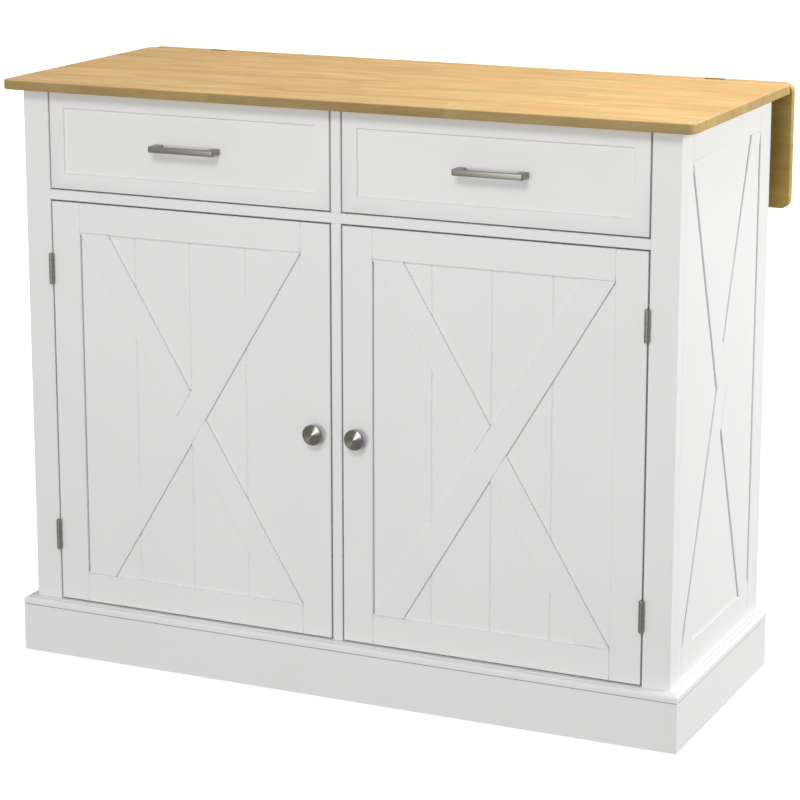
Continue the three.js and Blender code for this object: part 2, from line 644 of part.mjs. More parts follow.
// ---- drawers ------------------------------------------------------------
const FRONT_H = DRAWER_OPEN_H - 2 * REVEAL;
const BOX_Z = BOX_LIFT - REVEAL;
const BOX_HALF = OPEN_W / 2 - BOX_SIDE_GAP;
const BOX_BACK = STRETCHER_FRONT - BOX_BACK_GAP;
const RUNNER_BACK = STRETCHER_FRONT - RUNNER_BACK_GAP;
const RUNNER_Z = DRAWER_Z + BOX_LIFT + BOX_H / 2;
const BOTTOM_HALF = BOX_HALF - BOX_T + BOX_BOTTOM_LAP;

function bottomSlot(y0, y1) {
  const z = BOX_Z + BOX_BOTTOM_LIFT;
  return block(-BOTTOM_HALF, BOTTOM_HALF, y0, y1, z, z + BOX_BOTTOM_T);
}

function drawerFront() {
  const half = DOOR_W / 2;
  const sunk = block(-half + FRONT_BORDER, half - FRONT_BORDER, -PAST, FRONT_RECESS,
    FRONT_BORDER, FRONT_H - FRONT_BORDER);
  const slab = board(-half, half, 0, DOOR_T, 0, FRONT_H);
  return cut(slab, sunk, bottomSlot(DOOR_T - BOX_BOTTOM_LAP, DOOR_T + PAST));
}

// sides and back in one, grooved outside for the runners and inside for the bottom
function drawerBox() {
  const inner = BOX_HALF - BOX_T;
  const shape = outline([
    [-BOX_HALF, DOOR_T], [-inner, DOOR_T], [-inner, BOX_BACK - BOX_T], [inner, BOX_BACK - BOX_T],
    [inner, DOOR_T], [BOX_HALF, DOOR_T], [BOX_HALF, BOX_BACK], [-BOX_HALF, BOX_BACK],
  ]);
  const walls = extrude(shape, BOX_H).translate(0, 0, BOX_Z);
  const middle = BOX_Z + BOX_H / 2;
  const grooves = [-1, 1].map((way) => {
    const x0 = way * (BOX_HALF - RUNNER_LAP - FIT);
    const x1 = way * (BOX_HALF + PAST);
    return block(Math.min(x0, x1), Math.max(x0, x1), DOOR_T - PAST, BOX_BACK + PAST,
      middle - RUNNER_H / 2 - FIT / 2, middle + RUNNER_H / 2 + FIT / 2);
  });
  return cut(walls, ...grooves, bottomSlot(DOOR_T - PAST, BOX_BACK - BOX_T + BOX_BOTTOM_LAP));
}

function drawerBottom() {
  const z = BOX_Z + BOX_BOTTOM_LIFT;
  const slack = FIT / 2;
  return block(-BOTTOM_HALF + slack, BOTTOM_HALF - slack, DOOR_T - BOX_BOTTOM_LAP + slack,
    BOX_BACK - BOX_T + BOX_BOTTOM_LAP - slack, z + slack / 2, z + BOX_BOTTOM_T - slack / 2);
}

// a runner seen from the front: packing against the carcass, then the nose in the groove
function runner(side, outer) {
  const wall = outer ? INNER_X : DIVIDER_T / 2;
  const edge = outer ? OPEN_X : CENTRE_W / 2;
  const toBox = outer ? -1 : 1;
  const tip = edge + toBox * (BOX_SIDE_GAP + RUNNER_LAP);
  const nose = block(Math.min(side * wall, side * tip), Math.max(side * wall, side * tip),
    FRAME_T, RUNNER_BACK, RUNNER_Z - RUNNER_H / 2, RUNNER_Z + RUNNER_H / 2);
  if (!outer) {
    return nose;
  }
  const cleat = block(Math.min(side * wall, side * edge), Math.max(side * wall, side * edge),
    FRAME_T, RUNNER_BACK, RUNNER_Z - CLEAT_H / 2, RUNNER_Z + CLEAT_H / 2);
  return join(nose, cleat);
}

// bridge pull: a flat bar bent back into two square feet, its seat at y 0
function pull() {
  const half = PULL_L / 2;
  const inner = half - PULL_FOOT_L;
  const front = -PULL_OUT;
  const barBack = front + PULL_BAR_T;
  const round = PULL_CORNER_R;
  const fillet = PULL_FILLET_R;
  const shape = new THREE.Shape();
  shape.moveTo(-half, 0);
  shape.absarc(-half + round, front + round, round, Math.PI, 1.5 * Math.PI, false);
  shape.absarc(half - round, front + round, round, 1.5 * Math.PI, 2 * Math.PI, false);
  shape.lineTo(half, 0);
  shape.lineTo(inner, 0);
  shape.absarc(inner - fillet, barBack + fillet, fillet, 0, -Math.PI / 2, true);
  shape.absarc(-inner + fillet, barBack + fillet, fillet, -Math.PI / 2, -Math.PI, true);
  shape.lineTo(-inner, 0);
  shape.closePath();
  return extrude(shape, PULL_H, FINE_EASE).translate(0, 0, -PULL_H / 2);
}

// ---- assembly -----------------------------------------------------------
const island = new THREE.Group();
island.position.y = -MID_Y;

function add(group, name, geometry, finish, x = 0, y = 0, z = 0) {
  const mesh = part(name, geometry, finish);
  mesh.position.set(x, y, z);
  group.add(mesh);
  return mesh;
}

add(island, 'worktop', worktop(), WOOD);
add(island, 'face_mid_rail', midRail(), PAINT);
add(island, 'face_centre_stile_upper', centreStile(DRAWER_Z, CARCASS_TOP), PAINT);
add(island, 'face_centre_stile_lower', centreStile(PLINTH_H, DOOR_OPEN_TOP), PAINT);
add(island, 'centre_divider', divider(), PAINT);
add(island, 'bottom_board', bottomBoard(), PAINT);
add(island, 'back_panel', backPanel(), PAINT);
add(island, 'front_stretcher', frontStretcher(), PAINT);
add(island, 'back_stretcher', backStretcher(), PAINT);
add(island, 'plinth_front', plinth(-HALF_W, HALF_W, true, true), PAINT);
add(island, 'plinth_back', block(-INNER_X, INNER_X, CABINET_D - PLINTH_T, CABINET_D, 0,
  PLINTH_H - BOTTOM_T), PAINT);
add(island, 'plinth_right', plinth(0, CABINET_D, true, false), PAINT, HALF_W).rotation.z = Math.PI / 2;
add(island, 'plinth_left', plinth(-CABINET_D, 0, false, true), PAINT, -HALF_W).rotation.z = -Math.PI / 2;

const leaf = new THREE.Group();
island.add(leaf);
add(leaf, 'leaf_board', leafBoard(), WOOD);

for (const [name, side] of SIDES) {
  add(island, `face_stile_${name}`, faceStile(side), PAINT);
  add(island, `side_board_${name}`, sideBoard(side), PAINT);
  const overlay = add(island, `side_frame_${name}`, sideFrame(), PAINT, side * HALF_W, FRAME_T);
  overlay.rotation.z = side * Math.PI / 2;
  if (side < 0) {
    overlay.position.y = CABINET_D;
  }
  add(island, `shelf_${name}`, shelf(), PAINT, side * (DIVIDER_T / 2 + INNER_X) / 2);
  add(island, `runner_outer_${name}`, runner(side, true), BARE);
  add(island, `runner_inner_${name}`, runner(side, false), BARE);
  add(island, `top_hinge_${name}`, topHinge(), STEEL, side * LEAF_HINGE_X);
  add(leaf, `leaf_hinge_${name}`, leafHinge(), STEEL, side * LEAF_HINGE_X);
  add(island, `bracket_leg_${name}`, wallLeg(), STEEL, side * BRACKET_X);
  add(leaf, `bracket_arm_${name}`, leafArm(), STEEL, side * BRACKET_X);
  const brace = add(island, `bracket_strut_${name}`, strut(), STEEL, side * BRACKET_X, WALL_PIN_Y, WALL_PIN_Z);
  brace.rotation.x = STRUT_LEAN;

  const door = new THREE.Group();
  door.position.set(side * OPEN_MID, 0, DOOR_Z);
  island.add(door);
  add(door, `door_frame_${name}`, doorFrame(), PAINT);
  add(door, `door_panel_${name}`, plankPanel(), PAINT);
  add(door, `door_brace_${name}`, doorBrace(), PAINT);
  add(door, `knob_${name}`, knob(), METAL, -side * (DOOR_W - DOOR_STILE_W) / 2, 0, DOOR_H / 2);
  const hingeX = side * (DOOR_W / 2 + REVEAL / 2);
  for (const [level, z] of [['lower', HINGE_FROM_END], ['upper', DOOR_H - HINGE_FROM_END]]) {
    add(door, `hinge_door_${name}_${level}`, doorHingeHalf(-side), METAL, hingeX, -HINGE_PROUD, z);
    add(island, `hinge_frame_${name}_${level}`, frameHingeHalf(-side), METAL,
      door.position.x + hingeX, -HINGE_PROUD, DOOR_Z + z);
  }

  const drawer = new THREE.Group();
  drawer.position.set(side * OPEN_MID, 0, DRAWER_Z + REVEAL);
  island.add(drawer);
  add(drawer, `drawer_front_${name}`, drawerFront(), PAINT);
  add(drawer, `drawer_box_${name}`, drawerBox(), BARE);
  add(drawer, `drawer_bottom_${name}`, drawerBottom(), BARE);
  add(drawer, `pull_${name}`, pull(), METAL, 0, FRONT_RECESS, FRONT_H / 2);
}

export default island;
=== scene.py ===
"""Looks of the drop leaf kitchen island: paint, wood, metal, turned knobs, planks, screws and the studio.

Metres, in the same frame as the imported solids: +Z up, the front faces -Y, the origin on the floor at
the middle of the outline. Laid out as an add-on; run as a script it builds everything once, in order.
"""
import math

import bmesh
import bpy
from bpy.props import FloatProperty, FloatVectorProperty, IntProperty, PointerProperty
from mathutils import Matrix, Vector


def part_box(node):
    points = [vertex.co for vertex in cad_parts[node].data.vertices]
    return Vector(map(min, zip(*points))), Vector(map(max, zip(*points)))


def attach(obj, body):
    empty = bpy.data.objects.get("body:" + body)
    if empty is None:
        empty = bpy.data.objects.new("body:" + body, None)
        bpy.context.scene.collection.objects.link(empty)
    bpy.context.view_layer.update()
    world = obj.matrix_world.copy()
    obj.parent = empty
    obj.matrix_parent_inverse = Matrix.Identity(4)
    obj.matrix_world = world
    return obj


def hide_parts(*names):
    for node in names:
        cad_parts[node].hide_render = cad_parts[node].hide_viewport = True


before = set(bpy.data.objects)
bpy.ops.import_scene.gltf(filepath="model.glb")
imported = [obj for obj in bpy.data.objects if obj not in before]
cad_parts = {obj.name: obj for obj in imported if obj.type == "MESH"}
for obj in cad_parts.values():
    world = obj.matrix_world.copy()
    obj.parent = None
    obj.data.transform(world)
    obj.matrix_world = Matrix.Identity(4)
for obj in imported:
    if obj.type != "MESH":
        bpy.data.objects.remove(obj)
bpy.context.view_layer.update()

bl_info = {
    "name": "Drop leaf island looks",
    "version": (1, 0, 0),
    "blender": (4, 5, 0),
    "location": "3D View > Sidebar > Island",
    "description": "Finishes, planks, turned hardware, screws and studio for a drop leaf kitchen island",
    "category": "Object",
}

MM = 0.001
SIDES = ("left", "right")
LEVELS = ("lower", "upper")
WHITE = (1.0, 1.0, 1.0, 1.0)

# what the settings of one sort have in common
LENGTH = {"subtype": "DISTANCE", "unit": "LENGTH"}
COLOUR = {"subtype": "COLOR", "size": 3, "min": 0.0, "max": 1.0}
POWER = {"subtype": "POWER", "unit": "POWER", "min": 0.0, "max": 2000.0}


# ---- small helpers ------------------------------------------------------
def linear(hex_colour):
    """An sRGB hex colour such as "F0F0EE" as linear red, green, blue."""
    values = []
    for start in (0, 2, 4):
        share = int(hex_colour[start:start + 2], 16) / 255
        values.append(share / 12.92 if share <= 0.04045 else ((share + 0.055) / 1.055) ** 2.4)
    return tuple(values)


def rgba(colour):
    """A colour with full alpha, for a colour socket."""
    return (*colour, 1.0)


def extent(name):
    """The two corners of a solid's box and the point halfway between them."""
    low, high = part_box(name)
    return low, high, (low + high) / 2


def arc(centre, radius, start, end, steps):
    """Points on an arc, angles in degrees."""
    turns = [math.radians(start + (end - start) * i / steps) for i in range(steps + 1)]
    return [(centre[0] + radius * math.cos(turn), centre[1] + radius * math.sin(turn)) for turn in turns]


def add_node(tree, kind, inputs=None, **settings):
    """Adds a node; a kind without a family is a shader node, such as Math. An input is a plain value, an
    output socket, a node, whose first output is meant, or a list of nodes that all go into it."""
    node = tree.nodes.new(kind if "Node" in kind else f"ShaderNode{kind}")
    for key, value in settings.items():
        setattr(node, key, value)
    for key, value in (inputs or {}).items():
        for source in value if isinstance(value, list) else [value]:
            if isinstance(source, bpy.types.Node):
                source = source.outputs[0]
            if isinstance(source, bpy.types.NodeSocket):
                tree.links.new(source, node.inputs[key])
            else:
                node.inputs[key].default_value = source
    return node


def new_material(name):
    """An empty node material and its tree."""
    material = bpy.data.materials.new(name)
    material.use_nodes = True
    material.node_tree.nodes.clear()
    return material, material.node_tree


def finish_material(material, surface):
    """Ends the material with a shader that has the given inputs."""
    shader = add_node(material.node_tree, "BsdfPrincipled", surface)
    add_node(material.node_tree, "OutputMaterial", {"Surface": shader})
    return material


def object_place(tree, scale=(1.0, 1.0, 1.0)):
    """Object coordinates in metres times the given counts per metre."""
    place = add_node(tree, "TexCoord").outputs["Object"]
    return add_node(tree, "Mapping", {"Vector": place, "Scale": scale})


def toned(tree, colour, tone, sheen):
    """Shader inputs whose colour and roughness each follow a pattern, given as pattern, low, high."""
    tint, roughness = [
        add_node(tree, "MapRange",
                 {"Value": pattern, "From Min": 0.3, "From Max": 0.7, "To Min": low, "To Max": high})
        for pattern, low, high in (tone, sheen)]
    shade = add_node(tree, "VectorMath", {0: colour, "Scale": tint}, operation="SCALE")
    return {"Base Color": shade, "Roughness": roughness}


def dress(node_names, material):
    """Gives whole solids a material through their object's slots."""
    for name in node_names:
        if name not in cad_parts:
            raise RuntimeError(f"the frame has no solid named {name}")
        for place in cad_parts[name].material_slots:
            place.material = material


def of_sides(*kinds):
    """The names of the left and right solid of each kind."""
    return [f"{kind}_{side}" for side in SIDES for kind in kinds]


def mesh_object(name, mesh, material=None):
    """A new object at the origin, unturned and unscaled."""
    if material is not None:
        mesh.materials.append(material)
    piece = bpy.data.objects.new(name, mesh)
    bpy.context.scene.collection.objects.link(piece)
    return piece


def mesh_of(work, name, degrees):
    """The worked mesh, faces outwards, with hard edges where faces meet more steeply than the angle."""
    bmesh.ops.recalc_face_normals(work, faces=work.faces)
    work.normal_update()
    for face in work.faces:
        face.smooth = True
    for edge in work.edges:
        edge.smooth = len(edge.link_faces) == 2 and edge.calc_face_angle(0.0) < math.radians(degrees)
    mesh = bpy.data.meshes.new(name)
    work.to_mesh(mesh)
    work.free()
    return mesh


def settle(piece, body, slot, *replaced):
    """The last step of every piece: it rides on its body and stands for its solids. slot is not used."""
    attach(piece, body)
    if replaced:
        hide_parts(*replaced)
    return piece


def tree_with_inputs(name, **sockets):
    """A geometry tree with named inputs, listed by kind; returns it, them and their identifiers."""
    tree = bpy.data.node_groups.new(name, "GeometryNodeTree")
    for way in ("INPUT", "OUTPUT"):
        tree.interface.new_socket("Geometry", in_out=way, socket_type="NodeSocketGeometry")
    identifiers = {
        label: tree.interface.new_socket(label, in_out="INPUT", socket_type=f"NodeSocket{kind}").identifier
        for kind, labels in sockets.items() for label in labels}
    return tree, add_node(tree, "NodeGroupInput").outputs, identifiers


def block(tree, sizes, axis, distance):
    """A block of the given sizes along X, Y and Z, moved from the origin along one axis."""
    size = add_node(tree, "CombineXYZ", dict(enumerate(sizes)))
    place = add_node(tree, "CombineXYZ", {axis: distance})
    cube = add_node(tree, "GeometryNodeMeshCube", {"Size": size})
    return add_node(tree, "GeometryNodeTransform", {"Geometry": cube, "Translation": place})


def finish_tree(tree, geometry, material):
    """Ends a geometry tree: instances made real, then their material."""
    real = add_node(tree, "GeometryNodeRealizeInstances", {"Geometry": geometry})
    covered = add_node(tree, "GeometryNodeSetMaterial", {"Geometry": real, "Material": material})
    add_node(tree, "NodeGroupOutput", {0: covered})


def grow(piece, tree, identifiers, values):
    """Runs the tree on the piece, inputs set by identifier, and keeps the result as its own plain mesh."""
    modifier = piece.modifiers.new(tree.name, "NODES")
    modifier.node_group = tree
    for label, value in values.items():
        modifier[identifiers[label]] = value
    bpy.context.view_layer.update()
    evaluated = piece.evaluated_get(bpy.context.evaluated_depsgraph_get())
    mesh = bpy.data.meshes.new_from_object(evaluated)
    if not mesh.polygons:
        raise RuntimeError(f"{piece.name} came out empty")
    piece.modifiers.remove(modifier)
    piece.data = mesh


# ---- settings -----------------------------------------------------------
class IslandPaint(bpy.types.PropertyGroup):
    """Sprayed paint of the cabinet"""
    colour: FloatVectorProperty(
        name="Paint colour", description="Colour of the satin paint", default=linear("E6E6E5"), **COLOUR)
    roughness: FloatProperty(
        name="Sheen", description="Roughness of the dried paint",
        subtype="FACTOR", min=0.0, max=1.0, default=0.55)


class IslandWood(bpy.types.PropertyGroup):
    """Glued staves of the worktop and its leaf"""
    light: FloatVectorProperty(
        name="Light wood", description="Lightest staves", default=linear("EFCA89"), **COLOUR)
    dark: FloatVectorProperty(
        name="Dark wood", description="Darkest streaks", default=linear("C49558"), **COLOUR)
    stave_width: FloatProperty(
        name="Stave width", description="Width of one glued stave",
        min=0.01, max=0.2, default=0.046, **LENGTH)
    stave_length: FloatProperty(
        name="Stave length", description="Length between finger joints",
        min=0.1, max=2.0, default=0.38, **LENGTH)
    warm: FloatVectorProperty(
        name="Warm flush", description="Orange flush in single staves",
        default=linear("EDB070"), **COLOUR)
    end_edge: FloatVectorProperty(
        name="End tone", description="Tone of the sawn ends against the face",
        default=(0.62, 0.70, 0.60), **COLOUR)
    # painted shade on the free long edge: the worktop's front edge and the hanging leaf's lower edge
    long_edge_shade: FloatVectorProperty(
        name="Edge tone", description="Tone of the front edge against the face",
        default=(0.43, 0.47, 0.44), **COLOUR)
    # painted shade on the under face, darker and more olive than the face: the worktop's lower face and the
    # hanging leaf's inner face
    underside_shade: FloatVectorProperty(
        name="Underside tone", description="Tone of the underside", default=(0.60, 0.62, 0.33), **COLOUR)


class IslandMetal(bpy.types.PropertyGroup):
    """Handles, knobs and hinges"""
    nickel: FloatVectorProperty(
        name="Nickel colour", description="Colour of the brushed nickel",
        default=linear("9A968F"), **COLOUR)
    zinc: FloatVectorProperty(
        name="Zinc colour", description="Colour of the zinc plated steel",
        default=linear("B9BBBD"), **COLOUR)
    knob_radius: FloatProperty(
        name="Knob radius", description="Radius of a knob's head",
        min=0.005, max=0.04, default=0.01575, **LENGTH)


class IslandPlinth(bpy.types.PropertyGroup):
    """Moulded boards round the foot of the cabinet"""
    line_height: FloatProperty(
        name="Line height", description="Height of the sunk line over the floor",
        min=0.0, max=0.2, default=0.076, **LENGTH)
    line_width: FloatProperty(
        name="Line width", description="Width of the sunk line under the nosing",
        min=0.0, max=0.003, default=0.0013, **LENGTH)
    line_depth: FloatProperty(
        name="Line depth", description="Depth of the sunk line",
        min=0.0, max=0.01, default=0.0045, **LENGTH)


class IslandDrawers(bpy.types.PropertyGroup):
    """Drawer fronts with a sunk field"""
    border: FloatProperty(
        name="Border", description="Width of the raised border",
        min=0.005, max=0.06, default=0.0235, **LENGTH)
    slope: FloatProperty(
        name="Slope", description="Width of the slope from the border down to the field",
        min=0.0, max=0.01, default=0.0016, **LENGTH)
    sunk: FloatProperty(
        name="Field depth", description="How far the field lies behind the border",
        min=0.0, max=0.01, default=0.003, **LENGTH)


class IslandPlanks(bpy.types.PropertyGroup):
    """Tongued planks in the doors"""
    count: IntProperty(
        name="Planks", description="Planks between the stiles of a door", min=1, max=12, default=4)
    groove_width: FloatProperty(
        name="Groove width", description="Width of the V joint at the face",
        min=0.0, max=0.02, default=0.003, **LENGTH)
    groove_depth: FloatProperty(
        name="Groove depth", description="Depth of the V joint",
        min=0.0, max=0.005, default=0.0015, **LENGTH)


class IslandScrews(bpy.types.PropertyGroup):
    """Countersunk screws in the hardware"""
    head: FloatProperty(
        name="Head radius", description="Radius of a screw's head",
        min=0.001, max=0.01, default=0.003, **LENGTH)
    rise: FloatProperty(
        name="Head rise", description="How far the head stands over the plate",
        min=0.0, max=0.002, default=0.0003, **LENGTH)
    seed: IntProperty(name="Turn seed", description="Seed for how far each screw is turned", default=7)


class IslandStage(bpy.types.PropertyGroup):
    """Studio floor, lights and camera"""
    floor: FloatVectorProperty(
        name="Floor colour", description="Colour of the plain floor", default=linear("FDFDFD"), **COLOUR)
    ambient: FloatProperty(
        name="Ambient", description="Strength of the even light from all sides",
        min=0.0, max=5.0, default=0.38)
    paper_light: FloatProperty(
        name="Floor light", description="Strength of the floor's own light",
        min=0.0, max=20.0, default=3.4)
    front_power: FloatProperty(
        name="Front light", description="Power of the softbox straight in front", default=92.0, **POWER)
    key_power: FloatProperty(
        name="Upper light", description="Power of the softbox above the front", default=45.0, **POWER)
    side_power: FloatProperty(
        name="Right light", description="Power of the softbox at the right", default=178.0, **POWER)
    top_power: FloatProperty(
        name="Overhead light", description="Power of the softbox over the near corner",
        default=13.5, **POWER)
    rear_power: FloatProperty(
        name="Rear light", description="Power of the low softbox behind the island",
        default=55.0, **POWER)
    height: FloatProperty(
        name="Camera height", description="Height of the camera over the floor",
        min=0.1, max=5.0, default=1.4676, **LENGTH)
    lens: FloatProperty(
        name="Lens", description="Focal length on a 36 mm sensor", min=20.0, max=300.0, default=123.7)


# ---- finishes -----------------------------------------------------------
def satin_paint(name, colour, roughness):
    """Sprayed satin lacquer on fibreboard: flat and even, with the fine skin of spray droplets."""
    material, tree = new_material(name)
    # droplets about 1.4 mm across, coarser than the real ones so that they show at this distance
    droplets = add_node(tree, "TexNoise", {"Vector": object_place(tree), "Scale": 700.0, "Detail": 2.0})
    # slow waves left by sanding, about 120 mm long
    waves = add_node(tree, "TexNoise", {"Vector": object_place(tree), "Scale": 8.0, "Detail": 2.0})
    skin = add_node(tree, "Bump", {"Strength": 0.22, "Distance": 0.1 * MM, "Height": droplets})
    return finish_material(material, {
        **toned(tree, colour, (waves, 0.985, 1.0), (droplets, roughness - 0.04, roughness + 0.05)),
        "IOR": 1.47, "Normal": skin})


def lacquered_rubberwood(name, wood, across):
    """Edge glued, finger jointed rubberwood under satin lacquer: straight pale grain along X in staves
    of slightly different tone, short brown pores, sawn ends darker than the face, and painted shade
    on the front edge and the under face.
    across is the axis over the board's width: Y for the worktop, Z for the hanging leaf."""
    material, tree = new_material(name)
    coordinate = add_node(tree, "TexCoord").outputs
    place = add_node(tree, "SeparateXYZ", {0: coordinate["Object"]}).outputs
    thickness = "Z" if across == "Y" else "Y"
    straight = add_node(tree, "CombineXYZ", {0: place["X"], 1: place[across], 2: place[thickness]})
    # a stave has a number across the board, and one along its row, which is slid by chance
    row_place = add_node(tree, "Math", {0: place[across], 1: wood.stave_width}, operation="DIVIDE")
    row = add_node(tree, "Math", {0: row_place}, operation="FLOOR")
    slide = add_node(tree, "TexWhiteNoise", {"W": row}, noise_dimensions="1D")
    piece = add_node(tree, "Math", {0: place["X"], 1: wood.stave_length}, operation="DIVIDE")
    piece = add_node(tree, "Math", {0: piece, 1: slide}, operation="ADD")
    piece = add_node(tree, "Math", {0: piece}, operation="FLOOR")
    stave = add_node(tree, "CombineXYZ", {0: row, 1: piece})
    tone = add_node(tree, "TexWhiteNoise", {"Vector": stave}, noise_dimensions="3D")
    shift = add_node(tree, "VectorMath", {0: tone.outputs["Color"], "Scale": 40.0}, operation="SCALE")

    def streaks(length_mm, width_mm, detail, own_stave=True):
        """Noise drawn out along the grain to the given length and width of one streak."""
        per_metre = (1000 / length_mm, 1000 / width_mm, 1000 / width_mm)
        drawn = add_node(tree, "VectorMath", {0: straight, 1: per_metre}, operation="MULTIPLY")
        if own_stave:
            drawn = add_node(tree, "VectorMath", {0: drawn, 1: shift}, operation="ADD")
        return add_node(
            tree, "TexNoise",
            {"Vector": drawn, "Scale": 1.0, "Detail": detail, "Roughness": 0.55, "Distortion": 0.35})

    bands = streaks(120, 19, 3.0)            # growth bands
    fibres = streaks(60, 1.8, 4.0)           # fine fibres, drawn coarser than real
    patches = streaks(240, 60, 2.0, False)   # dark and pale patches over several staves
    flush = streaks(110, 28, 2.0)            # orange flush
    pores = streaks(16, 1.1, 1.0)            # short pores, drawn coarser than real
    grain = add_node(tree, "Mix", {0: 0.22, 2: bands, 3: fibres}, data_type="FLOAT")
    grain = add_node(tree, "Mix", {0: 0.32, 2: grain, 3: patches}, data_type="FLOAT")
    colour = rgba(wood.light)
    for pattern, start, end, most, tinge in ((grain, 0.38, 0.64, 0.68, wood.dark),
                                             (flush, 0.50, 0.68, 0.58, wood.warm)):
        share = add_node(
            tree, "MapRange", {"Value": pattern, "From Min": start, "From Max": end, "To Max": most})
        colour = add_node(tree, "Mix", {0: share, 6: colour, 7: rgba(tinge)}, data_type="RGBA").outputs[2]
    # staves differ in tone, pores are darker, and so is a glue line 1 mm wide beside each stave
    glue = add_node(tree, "Math", {0: row_place}, operation="FRACT")
    lift = 1.0
    for pattern, start, end, first, last in ((tone, 0.0, 1.0, 0.96, 1.03), (pores, 0.63, 0.74, 1.0, 0.80),
                                             (glue, 0.0, 0.02, 0.93, 1.0)):
        part = add_node(
            tree, "MapRange",
            {"Value": pattern, "From Min": start, "From Max": end, "To Min": first, "To Max": last})
        lift = add_node(tree, "Math", {0: lift, 1: part}, operation="MULTIPLY")
    # the ends are darker than the face as sawn end grain; the front edge and the under face carry painted
    # shade; the joint edges keep the face's tone
    normal = coordinate["Normal"]
    facing = add_node(tree, "SeparateXYZ", {0: normal}).outputs
    squared = add_node(tree, "VectorMath", {0: normal, 1: normal}, operation="MULTIPLY")
    squared = add_node(tree, "SeparateXYZ", {0: squared}).outputs
    tint = add_node(tree, "VectorMath", {0: wood.end_edge, "Scale": squared["X"]}, operation="SCALE")
    for axis, turned_away in ((across, wood.long_edge_shade), (thickness, wood.underside_shade)):
        towards = add_node(tree, "Math", {0: facing[axis], 1: 0.0}, operation="GREATER_THAN")
        side = add_node(
            tree, "Mix", {0: towards, 6: rgba(turned_away), 7: WHITE}, data_type="RGBA").outputs[2]
        side = add_node(tree, "VectorMath", {0: side, "Scale": squared[axis]}, operation="SCALE")
        tint = add_node(tree, "VectorMath", {0: tint, 1: side}, operation="ADD")
    shade = add_node(tree, "VectorMath", {0: colour, 1: tint}, operation="MULTIPLY")
    shade = add_node(tree, "VectorMath", {0: shade, "Scale": lift}, operation="SCALE")
    sheen = add_node(
        tree, "MapRange",
        {"Value": fibres, "From Min": 0.3, "From Max": 0.7, "To Min": 0.54, "To Max": 0.66})
    relief = add_node(tree, "Bump", {"Strength": 0.15, "Distance": 0.2 * MM, "Height": fibres})
    return finish_material(material, {
        "Base Color": shade, "Roughness": sheen, "IOR": 1.5, "Specular IOR Level": 0.35,
        "Coat Weight": 0.06, "Coat Roughness": 0.4, "Normal": relief})


def brushed_nickel(name, colour, along):
    """Satin nickel plate, brushed along one axis: fine parallel lines that draw the highlights out."""
    material, tree = new_material(name)
    # lines 0.4 mm wide and 40 mm long, coarser than real brushing
    scale = tuple(25.0 if axis == along else 2500.0 for axis in "XYZ")
    lines = add_node(tree, "TexNoise", {"Vector": object_place(tree, scale), "Scale": 1.0, "Detail": 3.0})
    relief = add_node(tree, "Bump", {"Strength": 0.12, "Distance": 0.1 * MM, "Height": lines})
    return finish_material(material, {**toned(tree, colour, (lines, 0.88, 1.06), (lines, 0.38, 0.50)),
                                      "Metallic": 1.0, "Normal": relief})


def turned_nickel(name, colour):
    """Nickel turned on a lathe: rings round the axis, which fan the highlights out from the middle.
    Reads the piece's own map, u round the axis and v along the profile in metres."""
    material, tree = new_material(name)
    around = add_node(tree, "UVMap", uv_map="turning")
    along = add_node(tree, "SeparateXYZ", {0: around}).outputs["Y"]
    # rings 0.35 mm apart
    rings = add_node(
        tree, "TexNoise", {"W": along, "Scale": 2800.0, "Detail": 2.0}, noise_dimensions="1D")
    tangent = add_node(tree, "Tangent", direction_type="UV_MAP", uv_map="turning")
    return finish_material(material, {**toned(tree, colour, (rings, 0.9, 1.06), (rings, 0.24, 0.36)),
                                      "Metallic": 1.0, "Anisotropic": 0.85,
                                      "Anisotropic Rotation": 0.25, "Tangent": tangent})


def zinc_plate(name, colour):
    """Bright zinc on pressed steel: pale, slightly clouded, with a soft spangle."""
    material, tree = new_material(name)
    # clouds about 6 mm across
    clouds = add_node(tree, "TexNoise", {"Vector": object_place(tree), "Scale": 170.0, "Detail": 3.0})
    return finish_material(material, {**toned(tree, colour, (clouds, 0.85, 1.05), (clouds, 0.34, 0.5)),
                                      "Metallic": 1.0})


def bare_birch(name):
    """Unpainted birch of the drawer boxes: pale, dry, with faint straight grain along the boards."""
    material, tree = new_material(name)
    normal = add_node(tree, "TexCoord").outputs["Normal"]
    sideways = add_node(tree, "SeparateXYZ", {0: normal}).outputs["X"]
    sideways = add_node(tree, "Math", {0: sideways}, operation="ABSOLUTE")
    is_side = add_node(tree, "Math", {0: sideways, 1: 0.5}, operation="GREATER_THAN")
    # streaks 90 mm long and 3 mm wide, along X on the back and bottom and along Y on the sides
    on_back, on_side = [
        add_node(tree, "TexNoise",
                 {"Vector": object_place(tree, scale), "Scale": 1.0, "Detail": 4.0})
        for scale in ((11, 330, 330), (330, 11, 330))]
    grain = add_node(tree, "Mix", {0: is_side, 2: on_back, 3: on_side}, data_type="FLOAT")
    depth = add_node(tree, "MapRange", {"Value": grain, "From Min": 0.35, "From Max": 0.7})
    colour = add_node(
        tree, "Mix", {0: depth, 6: rgba(linear("E6D7BA")), 7: rgba(linear("D6C19C"))}, data_type="RGBA")
    relief = add_node(tree, "Bump", {"Strength": 0.2, "Distance": 0.2 * MM, "Height": grain})
    return finish_material(material, {"Base Color": colour.outputs[2], "Roughness": 0.72, "IOR": 1.5,
                                      "Normal": relief})


def studio_floor(name, colour):
    """Matt rolled paper, with a very faint mottle."""
    material, tree = new_material(name)
    mottle = add_node(tree, "TexNoise", {"Vector": object_place(tree), "Scale": 1.5, "Detail": 2.0})
    tint = add_node(tree, "MapRange", {"Value": mottle, "To Min": 0.995, "To Max": 1.0})
    shade = add_node(tree, "VectorMath", {0: colour, "Scale": tint}, operation="SCALE")
    return finish_material(material, {"Base Color": shade, "Roughness": 0.95, "Specular IOR Level": 0.1})


